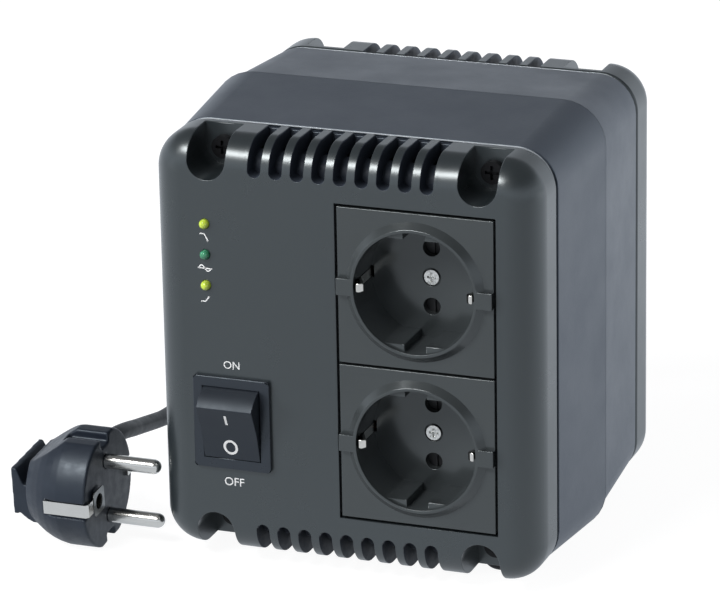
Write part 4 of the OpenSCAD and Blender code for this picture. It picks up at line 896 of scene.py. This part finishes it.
class STABILIZER_OT_sockets(PieceOperator):
    """Finishes the two socket modules with their earth strips, shutters, contacts and screws"""

    bl_idname = "stabilizer.sockets"
    bl_label = "Sockets"

    def execute(self, context):
        finish, sizes = context.scene.stabilizer_finish, context.scene.stabilizer_sizes
        skin = moulded(
            "insert_moulding", finish.insert, rough=0.19, cast=COOL, specular=0.8, spread=0.04, tint=0.06,
            patch=0.03, grain=0.0004, bump=0.04,
        )
        inner = moulded("inner_moulding", finish.inside, rough=0.5, grain=0.0005, bump=0.08)
        bright = moulded(
            "spring_steel", finish.spring, rough=0.22, spread=0.06, tint=0.05, patch=0.006, grain=0.0003, bump=0.03,
            metal=1.0,
        )
        brass = moulded(
            "brass", finish.brass, rough=0.28, spread=0.06, tint=0.08, patch=0.006, grain=0.0003, bump=0.03,
            metal=1.0,
        )
        plated = moulded(
            "screw_plate", finish.screw, rough=0.14, spread=0.06, tint=0.3, patch=0.0008, grain=0.0006, bump=0.6,
            metal=1.0,
        )
        for level, centre in SOCKET_CENTRES:
            softened(
                "socket_front_" + level, "socket_cover_" + level, skin, "socket_insert",
                sizes.edge * SOCKET_EDGE_SHARE, centre=centre,
            )
            wear(inner, "socket_base_" + level, "socket_shutter_" + level)
            softened(
                "earth_strips_" + level, "earth_clip_" + level, bright, "spring_steel", sizes.strip, centre=centre,
                split=True,
            )
        wear(brass, "pin_contacts")
        wear(plated, "socket_screws")
        wear(inner, "socket_retainer")
        return {"FINISHED"}


class STABILIZER_OT_switch(PieceOperator):
    """Finishes the rocker switch with its words and signs"""

    bl_idname = "stabilizer.switch"
    bl_label = "Switch"

    def execute(self, context):
        finish, sizes = context.scene.stabilizer_finish, context.scene.stabilizer_sizes
        skin = moulded(
            "switch_moulding", finish.switch, rough=0.30, cast=BLUISH, specular=0.6, spread=0.04, tint=0.05,
            patch=0.02, grain=0.0003, bump=0.03,
        )
        satin = moulded(
            "rocker_moulding", finish.switch, rough=0.46, cast=BLUISH, specular=0.45, spread=0.04, tint=0.05,
            patch=0.02, grain=0.0003, bump=0.03,
        )
        shared = {"slot": "switch_gloss", "width": sizes.edge, "centre": SWITCH_CENTRE, "split": True}
        softened("switch_frame", "switch_housing", skin, **shared)
        softened("rocker", "switch_rocker", satin, body="rocker", **shared)
        blades = moulded("blade_plate", finish.blade, rough=0.28, metal=1.0, patch=0.004)
        wear(blades, "switch_terminals", "breaker_terminals")
        ink = moulded(
            "white_print", finish.ink, rough=0.55, spread=0.03, tint=0.03, patch=0.002, grain=0.0002, bump=0.03
        )
        for name, text, x, z, height in WORDS:
            thing = words(name, text, height, ink, sizes.ink)
            place(thing, Matrix.Translation((x, FACE_Y, z)))
            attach(thing, "case")
        turn = np.linspace(0, 2 * math.pi, RING_POINTS)
        circle = np.stack([RING_HALF[0] * np.cos(turn), RING_HALF[1] * np.sin(turn)], -1)
        bar = ribbon("rocker_sign_on", [[(0, -BAR_HALF), (0, BAR_HALF)]], BAR_STROKE, ink, sizes.ink)
        ring = ribbon("rocker_sign_off", [circle], RING_STROKE, ink, sizes.ink)
        for thing, low, top, share in (
            (bar, ROCKER_VALLEY, ROCKER_TOP, BAR_SHARE),
            (ring, ROCKER_LOW, ROCKER_VALLEY, RING_SHARE),
        ):
            right = Vector((1, 0, 0))
            up = (top - low).normalized()
            basis = Matrix((right, -right.cross(up), up)).transposed().to_4x4()
            place(thing, Matrix.Translation(low.lerp(top, share)) @ basis)
            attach(thing, "rocker")
        return {"FINISHED"}


class STABILIZER_OT_indicators(PieceOperator):
    """Finishes the three lamps and the circuit boards, and prints the lamps' signs"""

    bl_idname = "stabilizer.indicators"
    bl_label = "Indicators"

    def execute(self, context):
        finish, sizes = context.scene.stabilizer_finish, context.scene.stabilizer_sizes
        # The lamps are off; their glow of 0.10 and 0.06 is painted light
        wear(lens_material("yellow_lens_painted_glow", finish.yellow, 0.10), "led_low", "led_high")
        wear(lens_material("green_lens_painted_glow", finish.green, 0.06), "led_normal")
        board = moulded("circuit_board", finish.board, rough=0.4, patch=0.004, tint=0.3, grain=0.0005, bump=0.1)
        wear(board, "led_board", "control_board")
        ink = bpy.data.materials["white_print"]
        for name, x, z, strokes in SIGNS:
            thing = ribbon(name, [np.asarray(stroke) * MM for stroke in strokes], SIGN_STROKE * MM, ink, sizes.ink)
            place(thing, Matrix.Translation((x * MM, FACE_Y, MIDDLE_Z + z * MM)))
            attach(thing, "case")
        return {"FINISHED"}


class STABILIZER_OT_inside(PieceOperator):
    """Finishes the transformer, the control board's parts and the overload breaker"""

    bl_idname = "stabilizer.inside"
    bl_label = "Inside and breaker"

    def execute(self, context):
        finish = context.scene.stabilizer_finish
        sheets = moulded(
            "core_sheets", finish.core, rough=0.5, patch=0.002, tint=0.3, grain=0.0005, bump=0.4, metal=1.0
        )
        wire = moulded(
            "copper_wire", finish.wire, rough=0.3, patch=0.002, tint=0.2, grain=0.0008, bump=0.6, metal=1.0
        )
        wear(sheets, "transformer_core")
        wear(wire, "transformer_winding")
        wear(bpy.data.materials["inner_moulding"], "transformer_bobbin", "breaker_body")
        wear(bpy.data.materials["zinc_plate"], "transformer_strap")
        wear(moulded("relay_case", finish.relay, rough=0.35, patch=0.01, tint=0.1), "relays")
        wear(moulded("capacitor_sleeve", finish.capacitor, rough=0.3, patch=0.005, tint=0.1), "capacitors")
        wear(moulded("button_moulding", finish.button, rough=0.35, patch=0.004, tint=0.1), "breaker_button")
        return {"FINISHED"}


PIECES = (
    STABILIZER_OT_stage,
    STABILIZER_OT_plug,
    STABILIZER_OT_cord,
    STABILIZER_OT_casing,
    STABILIZER_OT_sockets,
    STABILIZER_OT_switch,
    STABILIZER_OT_indicators,
    STABILIZER_OT_inside,
)


class STABILIZER_PT_panel(bpy.types.Panel):
    """The sidebar's list of pieces and settings"""

    bl_idname = "STABILIZER_PT_panel"
    bl_label = "Stabilizer"
    bl_space_type = "VIEW_3D"
    bl_region_type = "UI"
    bl_category = "Stabilizer"

    def draw(self, context):
        for group in (context.scene.stabilizer_finish, context.scene.stabilizer_sizes, context.scene.stabilizer_stage):
            box = self.layout.box()
            for name in group.__annotations__:
                box.prop(group, name)
        for piece in PIECES:
            self.layout.operator(piece.bl_idname)


SETTINGS = (
    ("stabilizer_finish", StabilizerFinish),
    ("stabilizer_sizes", StabilizerSizes),
    ("stabilizer_stage", StabilizerStage),
)


def register():
    """Registers the settings, the operators and the panel."""
    for name, group in SETTINGS:
        bpy.utils.register_class(group)
        setattr(bpy.types.Scene, name, bpy.props.PointerProperty(type=group))
    for piece in PIECES:
        bpy.utils.register_class(piece)
    bpy.utils.register_class(STABILIZER_PT_panel)


def unregister():
    """Takes back what register does, in the opposite order."""
    bpy.utils.unregister_class(STABILIZER_PT_panel)
    for piece in reversed(PIECES):
        bpy.utils.unregister_class(piece)
    for name, group in reversed(SETTINGS):
        delattr(bpy.types.Scene, name)
        bpy.utils.unregister_class(group)


def main():
    """Builds everything in order, the plug before the lead. Later pieces share materials."""
    register()
    bpy.ops.stabilizer.stage()
    bpy.ops.stabilizer.plug()
    bpy.ops.stabilizer.cord()
    bpy.ops.stabilizer.casing()
    bpy.ops.stabilizer.sockets()
    bpy.ops.stabilizer.switch()
    bpy.ops.stabilizer.indicators()
    bpy.ops.stabilizer.inside()


if __name__ == "__main__":
    main()
